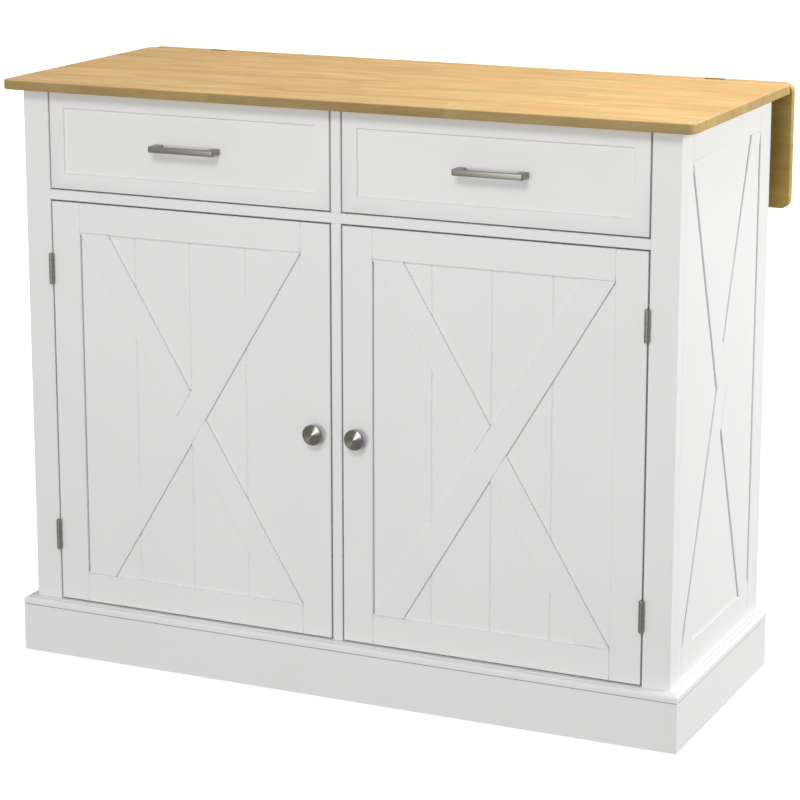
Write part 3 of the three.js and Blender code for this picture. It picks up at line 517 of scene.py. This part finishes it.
# ---- geometry trees -----------------------------------------------------
def plank_tree():
    """A backing board with bevelled planks side by side on its face, standing in X and Z, facing -Y."""
    tree, given, identifiers = tree_with_inputs(
        "plank panel", Int=("Count",), Vector=("Place",), Material=("Paint",),
        Float=("Height", "Visible Width", "Lap", "Thickness", "Groove Width", "Groove Depth"))
    groove = given["Groove Depth"]
    pitch = add_node(tree, "Math", {0: given["Visible Width"], 1: given["Count"]}, operation="DIVIDE")
    # a tenth of a millimetre of room between neighbours
    foot = add_node(tree, "Math", {0: pitch, 1: 0.1 * MM}, operation="SUBTRACT")
    crown = add_node(tree, "Math", {0: pitch, 1: given["Groove Width"]}, operation="SUBTRACT")
    # the backing reaches behind the frame, and its front face lies one groove behind the planks' faces
    full = add_node(
        tree, "Math", {0: given["Lap"], 1: 2.0, 2: given["Visible Width"]}, operation="MULTIPLY_ADD")
    rest = add_node(tree, "Math", {0: given["Thickness"], 1: groove}, operation="SUBTRACT")
    behind = add_node(tree, "Math", {0: rest, 1: 0.5, 2: groove}, operation="MULTIPLY_ADD")
    backing = block(tree, (full, rest, given["Height"]), 1, behind)
    # one plank: a thin slab whose front face is drawn in on both sides
    half = add_node(tree, "Math", {0: groove, 1: 0.5}, operation="MULTIPLY")
    plank = block(tree, (foot, groove, given["Height"]), 1, half)
    facing = add_node(tree, "GeometryNodeInputNormal")
    facing = add_node(tree, "SeparateXYZ", {0: facing}).outputs["Y"]
    front = add_node(tree, "Math", {0: facing, 1: -0.5}, operation="LESS_THAN")
    share = add_node(tree, "Math", {0: crown, 1: foot}, operation="DIVIDE")
    plank = add_node(
        tree, "GeometryNodeScaleElements",
        {"Geometry": plank, "Selection": front, "Scale": share, "Axis": (1.0, 0.0, 0.0)}, domain="FACE",
        scale_mode="SINGLE_AXIS")
    # the middle of the first plank lies half the other planks' pitches to the left
    gaps = add_node(tree, "Math", {0: given["Count"], 1: 1.0}, operation="SUBTRACT")
    back = add_node(tree, "Math", {0: pitch, 1: -0.5}, operation="MULTIPLY")
    first = add_node(tree, "Math", {0: gaps, 1: back}, operation="MULTIPLY")
    first = add_node(tree, "CombineXYZ", {0: first})
    step = add_node(tree, "CombineXYZ", {0: pitch})
    row = add_node(
        tree, "GeometryNodeMeshLine", {"Count": given["Count"], "Start Location": first, "Offset": step},
        mode="OFFSET")
    planks = add_node(tree, "GeometryNodeInstanceOnPoints", {"Points": row, "Instance": plank})
    both = add_node(tree, "GeometryNodeJoinGeometry", {0: [backing, planks]})
    placed = add_node(tree, "GeometryNodeTransform", {"Geometry": both, "Translation": given["Place"]})
    finish_tree(tree, placed, given["Paint"])
    return tree, identifiers


def screw_tree():
    """Countersunk cross recessed screw heads on the points of a mesh, facing along their own vector."""
    tree, given, identifiers = tree_with_inputs(
        "countersunk screws", Float=("Head Radius", "Rise", "Sunk"), Int=("Seed",), Material=("Plate",))
    radius = given["Head Radius"]
    height = add_node(tree, "Math", {0: given["Rise"], 1: given["Sunk"]}, operation="ADD")
    # shares of the head's radius: its flat top, and the recess from end to end and across
    top, long, short = [add_node(tree, "Math", {0: radius, 1: share}, operation="MULTIPLY")
                        for share in (0.86, 1.15, 0.28)]
    head = add_node(
        tree, "GeometryNodeMeshCone",
        {"Vertices": 20, "Radius Top": top, "Radius Bottom": radius, "Depth": height}, fill_type="NGON")
    down = add_node(tree, "Math", {0: given["Sunk"], 1: -1.0}, operation="MULTIPLY")
    down = add_node(tree, "CombineXYZ", {2: down})
    head = add_node(tree, "GeometryNodeTransform", {"Geometry": head, "Translation": down})
    # the recess starts over the head and stops short of its foot
    deep = add_node(tree, "Math", {0: height, 1: 1.2}, operation="MULTIPLY")
    lift = add_node(tree, "Math", {0: deep, 1: 0.42}, operation="MULTIPLY")
    arms = [block(tree, (*sizes, deep), 2, lift) for sizes in ((long, short), (short, long))]
    recessed = add_node(tree, "GeometryNodeMeshBoolean", {0: head, 1: arms}, operation="DIFFERENCE")
    facing = add_node(
        tree, "GeometryNodeInputNamedAttribute", {"Name": "facing"}, data_type="FLOAT_VECTOR")
    aligned = add_node(tree, "FunctionNodeAlignRotationToVector", {"Vector": facing}, axis="Z")
    angle = add_node(
        tree, "FunctionNodeRandomValue", {2: 0.0, 3: math.pi, "Seed": given["Seed"]},
        data_type="FLOAT").outputs[1]
    spin = add_node(tree, "FunctionNodeAxisAngleToRotation", {"Axis": (0.0, 0.0, 1.0), "Angle": angle})
    turned = add_node(tree, "FunctionNodeRotateRotation", {0: aligned, 1: spin}, rotation_space="LOCAL")
    placed = add_node(
        tree, "GeometryNodeInstanceOnPoints",
        {"Points": given["Geometry"], "Instance": recessed, "Rotation": turned})
    finish_tree(tree, placed, given["Plate"])
    return tree, identifiers


# ---- operators ----------------------------------------------------------
class ISLAND_OT_stage(bpy.types.Operator):
    """Lays the pale floor, hangs the soft lights and sets the camera where the photograph was taken"""
    bl_idname = "island.stage"
    bl_label = "Set up the studio"

    def execute(self, context):
        stage = context.scene.island_stage
        reach = 40.0
        floor = bpy.data.meshes.new("studio_floor")
        floor.from_pydata([(-reach, -reach, 0), (reach, -reach, 0), (reach, reach, 0), (-reach, reach, 0)],
                          [], [(0, 1, 2, 3)])
        paper = mesh_object("studio_floor", floor, studio_floor("matt studio paper", stage.floor))
        # the paper throws no light back, as if black boards stood round the island
        paper.visible_diffuse = False
        paper.visible_glossy = False
        self.place_camera(context, stage)
        on_paper = self.light_group("paper_light_group", paper, "INCLUDE")
        off_paper = self.light_group("object_light_group", paper, "EXCLUDE")
        self.add_lamp(
            context, on_paper, "paper_light", (0.0, 0.0, 6.0), (0.0, 0.0, 0.0), stage.paper_light)
        # the rear softbox stands under the worktop's level, so that it puts no sheen on the top
        for name, place, target, power, size in (
                ("front_softbox", (-0.35, -5.5, 1.0), (0.0, -0.2, 0.5), stage.front_power, 1.6),
                ("upper_softbox", (0.55, -3.3, 3.1), (0.0, -0.2, 0.5), stage.key_power, 1.0),
                ("right_softbox", (4.6, 1.4, 2.0), (0.0, 0.0, 0.5), stage.side_power, 2.0),
                ("overhead_softbox", (0.7, 0.1, 2.4), (0.65, 0.0, 0.9), stage.top_power, 0.6),
                ("rear_softbox", (-0.8, 5.0, 0.48), (0.0, 0.2, 0.45), stage.rear_power, 0.85)):
            self.add_lamp(context, off_paper, name, place, target, power, size)
        world = bpy.data.worlds.new("white studio")
        world.use_nodes = True
        # the room looks white to the camera and lights the island at its own strength
        seen = add_node(world.node_tree, "LightPath").outputs["Is Camera Ray"]
        strength = add_node(
            world.node_tree, "MapRange", {"Value": seen, "To Min": stage.ambient, "To Max": 1.0})
        background = world.node_tree.nodes["Background"]
        background.inputs["Color"].default_value = WHITE
        world.node_tree.links.new(strength.outputs[0], background.inputs["Strength"])
        context.scene.world = world
        context.scene.view_settings.view_transform = "Standard"
        return {"FINISHED"}

    @staticmethod
    def place_camera(context, stage):
        """The camera, fitted to points measured in the photograph."""
        camera = bpy.data.objects.new("photograph_camera", bpy.data.cameras.new("photograph_camera"))
        camera.data.sensor_width = 36.0
        camera.data.lens = stage.lens
        # the photograph keeps its uprights nearly parallel
        camera.data.shift_y = -0.08
        camera.data.clip_end = 200.0
        camera.location = (1.7382, -3.7689, stage.height)
        # degrees down from level, and round from the front
        down, round_right = 12.901, 24.685
        camera.rotation_euler = (math.radians(90 - down), 0.0, math.radians(round_right))
        context.scene.collection.objects.link(camera)
        context.scene.camera = camera

    @staticmethod
    def light_group(name, piece, state):
        """A group that makes a lamp light only the piece, or everything but the piece."""
        group = bpy.data.collections.new(name)
        group.objects.link(piece)
        group.collection_objects[0].light_linking.link_state = state
        return group

    @staticmethod
    def add_lamp(context, group, name, place, target, power, size=None):
        """A square softbox of the given size aimed at a point, or without a size a wide even light."""
        lamp = bpy.data.lights.new(name, "AREA" if size else "SUN")
        if size:
            lamp.size = size
        else:
            lamp.angle = math.radians(60)
        lamp.energy = power
        holder = bpy.data.objects.new(name, lamp)
        holder.location = place
        holder.rotation_euler = (Vector(target) - Vector(place)).to_track_quat("-Z", "Y").to_euler()
        holder.light_linking.receiver_collection = group
        context.scene.collection.objects.link(holder)


class ISLAND_OT_paint(bpy.types.Operator):
    """Paints every cabinet board, door and drawer front"""
    bl_idname = "island.paint"
    bl_label = "Paint the cabinet"

    def execute(self, context):
        paint = context.scene.island_paint
        dress(["face_mid_rail", "face_centre_stile_upper", "face_centre_stile_lower", "centre_divider",
               "bottom_board", "back_panel", "front_stretcher", "back_stretcher", "plinth_front",
               "plinth_back",
               *of_sides("plinth", "face_stile", "side_board", "side_frame", "shelf", "door_frame",
                         "door_panel", "door_brace", "drawer_front")],
              satin_paint("satin white paint", paint.colour, paint.roughness))
        return {"FINISHED"}


class ISLAND_OT_wood(bpy.types.Operator):
    """Finishes the worktop and its hanging leaf as lacquered wood"""
    bl_idname = "island.wood"
    bl_label = "Lay the wood"

    def execute(self, context):
        wood = context.scene.island_wood
        dress(["worktop"], lacquered_rubberwood("lacquered rubberwood worktop", wood, "Y"))
        dress(["leaf_board"], lacquered_rubberwood("lacquered rubberwood leaf", wood, "Z"))
        return {"FINISHED"}


class ISLAND_OT_hardware(bpy.types.Operator):
    """Finishes the hinges, leaf brackets, drawer boxes and runners"""
    bl_idname = "island.hardware"
    bl_label = "Finish the hardware"

    def execute(self, context):
        metal = context.scene.island_metal
        hinges = of_sides("hinge_door", "hinge_frame")
        dress([f"{hinge}_{level}" for hinge in hinges for level in LEVELS],
              brushed_nickel("brushed nickel hinges", metal.nickel, "Z"))
        dress(of_sides("top_hinge", "leaf_hinge", "bracket_leg", "bracket_arm", "bracket_strut"),
              zinc_plate("zinc plated steel", metal.zinc))
        dress(of_sides("drawer_box", "drawer_bottom", "runner_outer", "runner_inner"),
              bare_birch("bare birch"))
        return {"FINISHED"}


class ISLAND_OT_plinth(bpy.types.Operator):
    """Moulds the plinth's front and side boards, with a sunk line under the nosing"""
    bl_idname = "island.plinth"
    bl_label = "Mould the plinth"

    def execute(self, context):
        paint = bpy.data.materials["satin white paint"]
        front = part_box("plinth_front")[1].y
        side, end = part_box("plinth_right")
        outline = self.profile(context.scene.island_plinth)
        # glued mitres, closed to a hair
        joint = 0.03 * MM
        runs = {"plinth_front": lambda out, far: ((side.x + out - joint) * (1 if far else -1), front - out),
                "plinth_right": lambda out, far: (side.x + out, end.y if far else front - out + joint),
                "plinth_left": lambda out, far: (-side.x - out, end.y if far else front - out + joint)}
        for name, place in runs.items():
            piece = mesh_object(f"{name}_moulded", self.board(outline, place), paint)
            settle(piece, "cabinet", "white_paint", name)
        return {"FINISHED"}

    @staticmethod
    def profile(settings):
        """Distance out from the cabinet and height: plain face, sunk line, round nose and flat strip."""
        face, nose, strip, ease, top = 16 * MM, 4.5 * MM, 7 * MM, 1 * MM, 88 * MM
        low = settings.line_height - settings.line_width / 2
        high = settings.line_height + settings.line_width / 2
        bottom, crown = face - settings.line_depth, top - ease
        return [(0, 0), (face, 0), (face, low), (bottom, low), (bottom, high), (face, high),
                *arc((face - nose, crown - nose), nose, 0, 90, 10),
                (strip, crown), (strip - ease, top), (0, top)]

    @staticmethod
    def board(outline, place):
        """The outline drawn from one mitred end to the other."""
        work = bmesh.new()
        near, far = [[work.verts.new((*place(out, end), z)) for out, z in outline] for end in (False, True)]
        for i in range(-1, len(outline) - 1):
            work.faces.new((near[i], near[i + 1], far[i + 1], far[i]))
        work.faces.new(near)
        work.faces.new(far)
        return mesh_of(work, "plinth_moulded", 30)


class ISLAND_OT_drawer_fronts(bpy.types.Operator):
    """Cuts the drawer fronts with a field that slopes in from its border"""
    bl_idname = "island.drawer_fronts"
    bl_label = "Cut the drawer fronts"

    def execute(self, context):
        settings = context.scene.island_drawers
        paint = bpy.data.materials["satin white paint"]
        for side in SIDES:
            low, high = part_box(f"drawer_front_{side}")
            ease, inner = 0.8 * MM, settings.border + settings.slope
            # distance in from the outline, and place through the thickness, from the back to the field
            steps = [(0, high.y), (0, low.y + ease), (0.3 * ease, low.y + 0.3 * ease), (ease, low.y),
                     (settings.border, low.y), (inner, low.y + settings.sunk)]
            work = bmesh.new()
            rings = [[work.verts.new((x, y, z)) for x, z in (
                (low.x + inset, low.z + inset), (high.x - inset, low.z + inset),
                (high.x - inset, high.z - inset), (low.x + inset, high.z - inset))] for inset, y in steps]
            for near, far in zip(rings, rings[1:]):
                for i in range(4):
                    work.faces.new((near[i], near[i - 1], far[i - 1], far[i]))
            work.faces.new(rings[0])
            work.faces.new(rings[-1])
            name = f"drawer_front_cut_{side}"
            piece = mesh_object(name, mesh_of(work, name, 40), paint)
            settle(piece, f"drawer_{side}", "white_paint", f"drawer_front_{side}")
        return {"FINISHED"}


class ISLAND_OT_planks(bpy.types.Operator):
    """Builds the planked door panels from the plank tree"""
    bl_idname = "island.planks"
    bl_label = "Fit the door planks"

    def execute(self, context):
        settings = context.scene.island_planks
        paint = bpy.data.materials["satin white paint"]
        tree, identifiers = plank_tree()
        # the brace ends this far from the frame on each side
        brace_gap = 0.3 * MM
        for side in SIDES:
            low, high, middle = extent(f"door_panel_{side}")
            brace_low, brace_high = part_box(f"door_brace_{side}")
            visible = brace_high.x - brace_low.x + 2 * brace_gap
            piece = mesh_object(f"door_planks_{side}", bpy.data.meshes.new(f"door_planks_{side}"))
            grow(piece, tree, identifiers, {
                "Height": high.z - low.z, "Visible Width": visible, "Lap": (high.x - low.x - visible) / 2,
                "Thickness": high.y - low.y, "Count": settings.count,
                "Groove Width": settings.groove_width, "Groove Depth": settings.groove_depth,
                "Place": (middle.x, low.y, middle.z), "Paint": paint})
            settle(piece, f"door_{side}", "white_paint", f"door_panel_{side}")
        return {"FINISHED"}


class ISLAND_OT_knobs(bpy.types.Operator):
    """Turns the two knobs on a lathe profile"""
    bl_idname = "island.knobs"
    bl_label = "Turn the knobs"

    def execute(self, context):
        metal = context.scene.island_metal
        nickel = turned_nickel("turned nickel knob", metal.nickel)
        for side in SIDES:
            _, high, middle = extent(f"knob_{side}")
            seat = Vector((middle.x, high.y, middle.z))
            piece = mesh_object(f"knob_turned_{side}", self.turned(metal.knob_radius, seat), nickel)
            settle(piece, f"door_{side}", "brushed_nickel", f"knob_{side}")
        return {"FINISHED"}

    @staticmethod
    def turned(radius, seat):
        """A closed lathe mesh round -Y with a map of angle and distance along the profile."""
        # radius and distance from the door in mm: foot, neck, flared head with a rolled rim, low cone
        widest, neck, rim, cone = 15.75, 6, 14.7, 2.4
        profile = [(0, 0), (8.7, 0), (9, 0.3), (9, 1.2), (8.6, 1.6), (6.8, 2.3), (5.8, 3.2), (5.5, 4.2),
                   (5.5, 7), (5.9, 8.2), (7.2, 9.5), (9.4, 10.6), (12.4, 11.4), (14.6, 11.8),
                   (15.4, 12.2), (widest, 12.9), (widest, 14.4), (15.6, 14.9), (15.2, 15.35), (rim, 15.6)]
        profile += [(r, 18 - r * cone / rim) for r in (13, 11, 8.5, 6, 4, 2, 0.9)] + [(0, 17.95)]
        points = [(r * MM * (radius / (widest * MM) if r > neck else 1), y * MM) for r, y in profile]
        steps = 64
        work = bmesh.new()
        turning = work.loops.layers.uv.new("turning")
        rings, travel, last = [], [], Vector((0.0, 0.0))
        for r, y in points:
            travel.append((travel[-1] if travel else 0.0) + math.hypot(r - last.x, y - last.y))
            last = Vector((r, y))
            angles = [2 * math.pi * i / steps for i in range(steps if r else 1)]
            rings.append([work.verts.new((seat.x + r * math.cos(angle), seat.y - y,
                                          seat.z + r * math.sin(angle))) for angle in angles])
        for k in range(len(rings) - 1):
            for i in range(steps):
                corners = []
                for level, places in ((k, (i, i + 1)), (k + 1, (i + 1, i))):
                    # the profile's ends lie on the axis and have a single corner
                    for place in places if len(rings[level]) > 1 else (i + 0.5,):
                        vert = rings[level][int(place) % len(rings[level])]
                        corners.append((vert, (place / steps, travel[level])))
                face = work.faces.new([vert for vert, _ in corners])
                for loop, (_, place) in zip(face.loops, corners):
                    loop[turning].uv = place
        return mesh_of(work, "knob_turned", 28)


class ISLAND_OT_pulls(bpy.types.Operator):
    """Bends the two bar pulls and rounds their edges"""
    bl_idname = "island.pulls"
    bl_label = "Make the pulls"

    def execute(self, context):
        nickel = brushed_nickel("brushed nickel pulls", context.scene.island_metal.nickel, "X")
        for side in SIDES:
            low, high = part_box(f"pull_{side}")
            piece = mesh_object(f"pull_bridge_{side}", self.bridge(low, high), nickel)
            settle(piece, f"drawer_{side}", "brushed_nickel", f"pull_{side}")
        return {"FINISHED"}

    @staticmethod
    def bridge(low, high):
        """The bridge outline between the two corners of its solid, extruded up and bevelled."""
        left, right, front, seat = low.x, high.x, low.y, high.y
        foot, bar, corner, fillet = 14 * MM, 6 * MM, 3 * MM, 6 * MM
        inside = front + bar + fillet
        outline = [(left, seat),
                   *arc((left + corner, front + corner), corner, 180, 270, 6),
                   *arc((right - corner, front + corner), corner, 270, 360, 6),
                   (right, seat), (right - foot, seat),
                   *arc((right - foot - fillet, inside), fillet, 0, -90, 8),
                   *arc((left + foot + fillet, inside), fillet, -90, -180, 8),
                   (left + foot, seat)]
        work = bmesh.new()
        face = work.faces.new([work.verts.new((x, y, low.z)) for x, y in outline])
        grown = bmesh.ops.extrude_face_region(work, geom=[face])
        for vert in [item for item in grown["geom"] if isinstance(item, bmesh.types.BMVert)]:
            vert.co.z = high.z
        bmesh.ops.recalc_face_normals(work, faces=work.faces)
        # every level edge but those on the drawer
        rims = [edge for edge in work.edges
                if abs(edge.verts[0].co.z - edge.verts[1].co.z) < 1e-7
                and not all(abs(vert.co.y - seat) < 1e-7 for vert in edge.verts)]
        bmesh.ops.bevel(work, geom=rims, offset=0.8 * MM, segments=3, profile=0.5, affect="EDGES")
        return mesh_of(work, "pull_bridge", 35)


class ISLAND_OT_screws(bpy.types.Operator):
    """Drives the screws of the hinges, brackets and runners with the screw tree"""
    bl_idname = "island.screws"
    bl_label = "Drive the screws"

    def execute(self, context):
        settings = context.scene.island_screws
        tree, identifiers = screw_tree()
        zinc = bpy.data.materials["zinc plated steel"]
        nickel = bpy.data.materials["brushed nickel hinges"]
        jobs = [("screws_cabinet", "cabinet", self.cabinet_points(), zinc, "zinc_steel"),
                ("screws_leaf", "drop_leaf", self.leaf_points(), zinc, "zinc_steel")]
        for side in SIDES:
            for half, body in (("frame", "cabinet"), ("door", f"door_{side}")):
                jobs.append((f"screws_{half}_hinges_{side}", body, self.hinge_points(side, half), nickel,
                             "brushed_nickel"))
        for name, body, points, plate, slot in jobs:
            mesh = bpy.data.meshes.new(name)
            mesh.from_pydata([place for place, _ in points], [], [])
            facing = mesh.attributes.new("facing", "FLOAT_VECTOR", "POINT")
            for i, (_, way) in enumerate(points):
                facing.data[i].vector = way
            piece = mesh_object(name, mesh)
            # the door hinges close on their screws, so these stand less proud
            rise = settings.rise if plate is zinc else settings.rise / 3
            grow(piece, tree, identifiers, {"Head Radius": settings.head, "Rise": rise, "Sunk": 0.5 * MM,
                                            "Seed": settings.seed, "Plate": plate})
            settle(piece, body, slot)
        return {"FINISHED"}

    @staticmethod
    def grid(across, deep, up, way):
        """A screw wherever the given places along X, Y and Z meet, all facing one way."""
        return [((x, y, z), way) for x in across for y in deep for z in up]

    @classmethod
    def hinge_points(cls, side, half):
        """Two screws in each leaf of a door hinge, on the face that the other leaf closes on."""
        way = (1 if side == "right" else -1) * (-1 if half == "frame" else 1)
        # from the pin's plane to a leaf, from the leaf's edge to its screws, and half the way between these
        gap, edge, apart = 0.25 * MM, 7 * MM, 15 * MM
        points = []
        for level in LEVELS:
            _, high, middle = extent(f"hinge_{half}_{side}_{level}")
            points += cls.grid([middle.x - way * gap], [high.y - edge],
                               [middle.z - apart, middle.z + apart], (way, 0.0, 0.0))
        return points

    @classmethod
    def cabinet_points(cls):
        """Screws of the worktop hinges, the wall legs and the runners."""
        plate, nose = 2.5 * MM, 19 * MM
        points = []
        for side in SIDES:
            low, _, middle = extent(f"top_hinge_{side}")
            points += cls.grid([middle.x - 8 * MM, middle.x + 8 * MM], [low.y + 8 * MM], [low.z],
                               (0.0, 0.0, -1.0))
            low, high, middle = extent(f"bracket_leg_{side}")
            points += cls.grid([middle.x], [low.y + plate],
                               [low.z + 10 * MM, low.z + 26 * MM, high.z - 12 * MM], (0.0, 1.0, 0.0))
            way = 1 if side == "right" else -1
            low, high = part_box(f"runner_outer_{side}")
            cleat = low.x if side == "right" else high.x
            points += cls.grid([cleat + way * nose],
                               [low.y + (high.y - low.y) * share for share in (0.12, 0.5, 0.88)],
                               [low.z + 6 * MM, high.z - 6 * MM], (-way, 0.0, 0.0))
        return points

    @classmethod
    def leaf_points(cls):
        """Screws of the leaf's hinge plates and of the channels."""
        floor = 3 * MM
        points = []
        for side in SIDES:
            low, _, middle = extent(f"leaf_hinge_{side}")
            points += cls.grid([middle.x - 9 * MM, middle.x + 9 * MM], [low.y], [low.z + 9 * MM],
                               (0.0, -1.0, 0.0))
            low, high, middle = extent(f"bracket_arm_{side}")
            points += cls.grid([middle.x], [high.y - floor], [low.z + 12 * MM, high.z - 12 * MM],
                               (0.0, -1.0, 0.0))
        return points


# ---- panel and registration ---------------------------------------------
class VIEW3D_PT_island(bpy.types.Panel):
    """Lists the island's settings and steps in the sidebar"""
    bl_idname = "VIEW3D_PT_island"
    bl_label = "Drop leaf island"
    bl_space_type = "VIEW_3D"
    bl_region_type = "UI"
    bl_category = "Island"

    def draw(self, context):
        for name in SETTINGS:
            group = getattr(context.scene, name)
            box = self.layout.box()
            for key in group.__annotations__:
                box.prop(group, key)
        for step in STEPS:
            self.layout.operator(step.bl_idname)


SETTINGS = {"island_paint": IslandPaint, "island_wood": IslandWood, "island_metal": IslandMetal,
            "island_plinth": IslandPlinth, "island_drawers": IslandDrawers, "island_planks": IslandPlanks,
            "island_screws": IslandScrews, "island_stage": IslandStage}
STEPS = (ISLAND_OT_stage, ISLAND_OT_paint, ISLAND_OT_wood, ISLAND_OT_hardware, ISLAND_OT_plinth,
         ISLAND_OT_drawer_fronts, ISLAND_OT_planks, ISLAND_OT_knobs, ISLAND_OT_pulls, ISLAND_OT_screws)
CLASSES = (*SETTINGS.values(), *STEPS, VIEW3D_PT_island)


def register():
    for cls in CLASSES:
        bpy.utils.register_class(cls)
    for name, group in SETTINGS.items():
        setattr(bpy.types.Scene, name, PointerProperty(type=group))


def unregister():
    for name in SETTINGS:
        delattr(bpy.types.Scene, name)
    for cls in reversed(CLASSES):
        bpy.utils.unregister_class(cls)


def main():
    register()
    for step in STEPS:
        family, name = step.bl_idname.split(".")
        getattr(getattr(bpy.ops, family), name)()


if __name__ == "__main__":
    main()
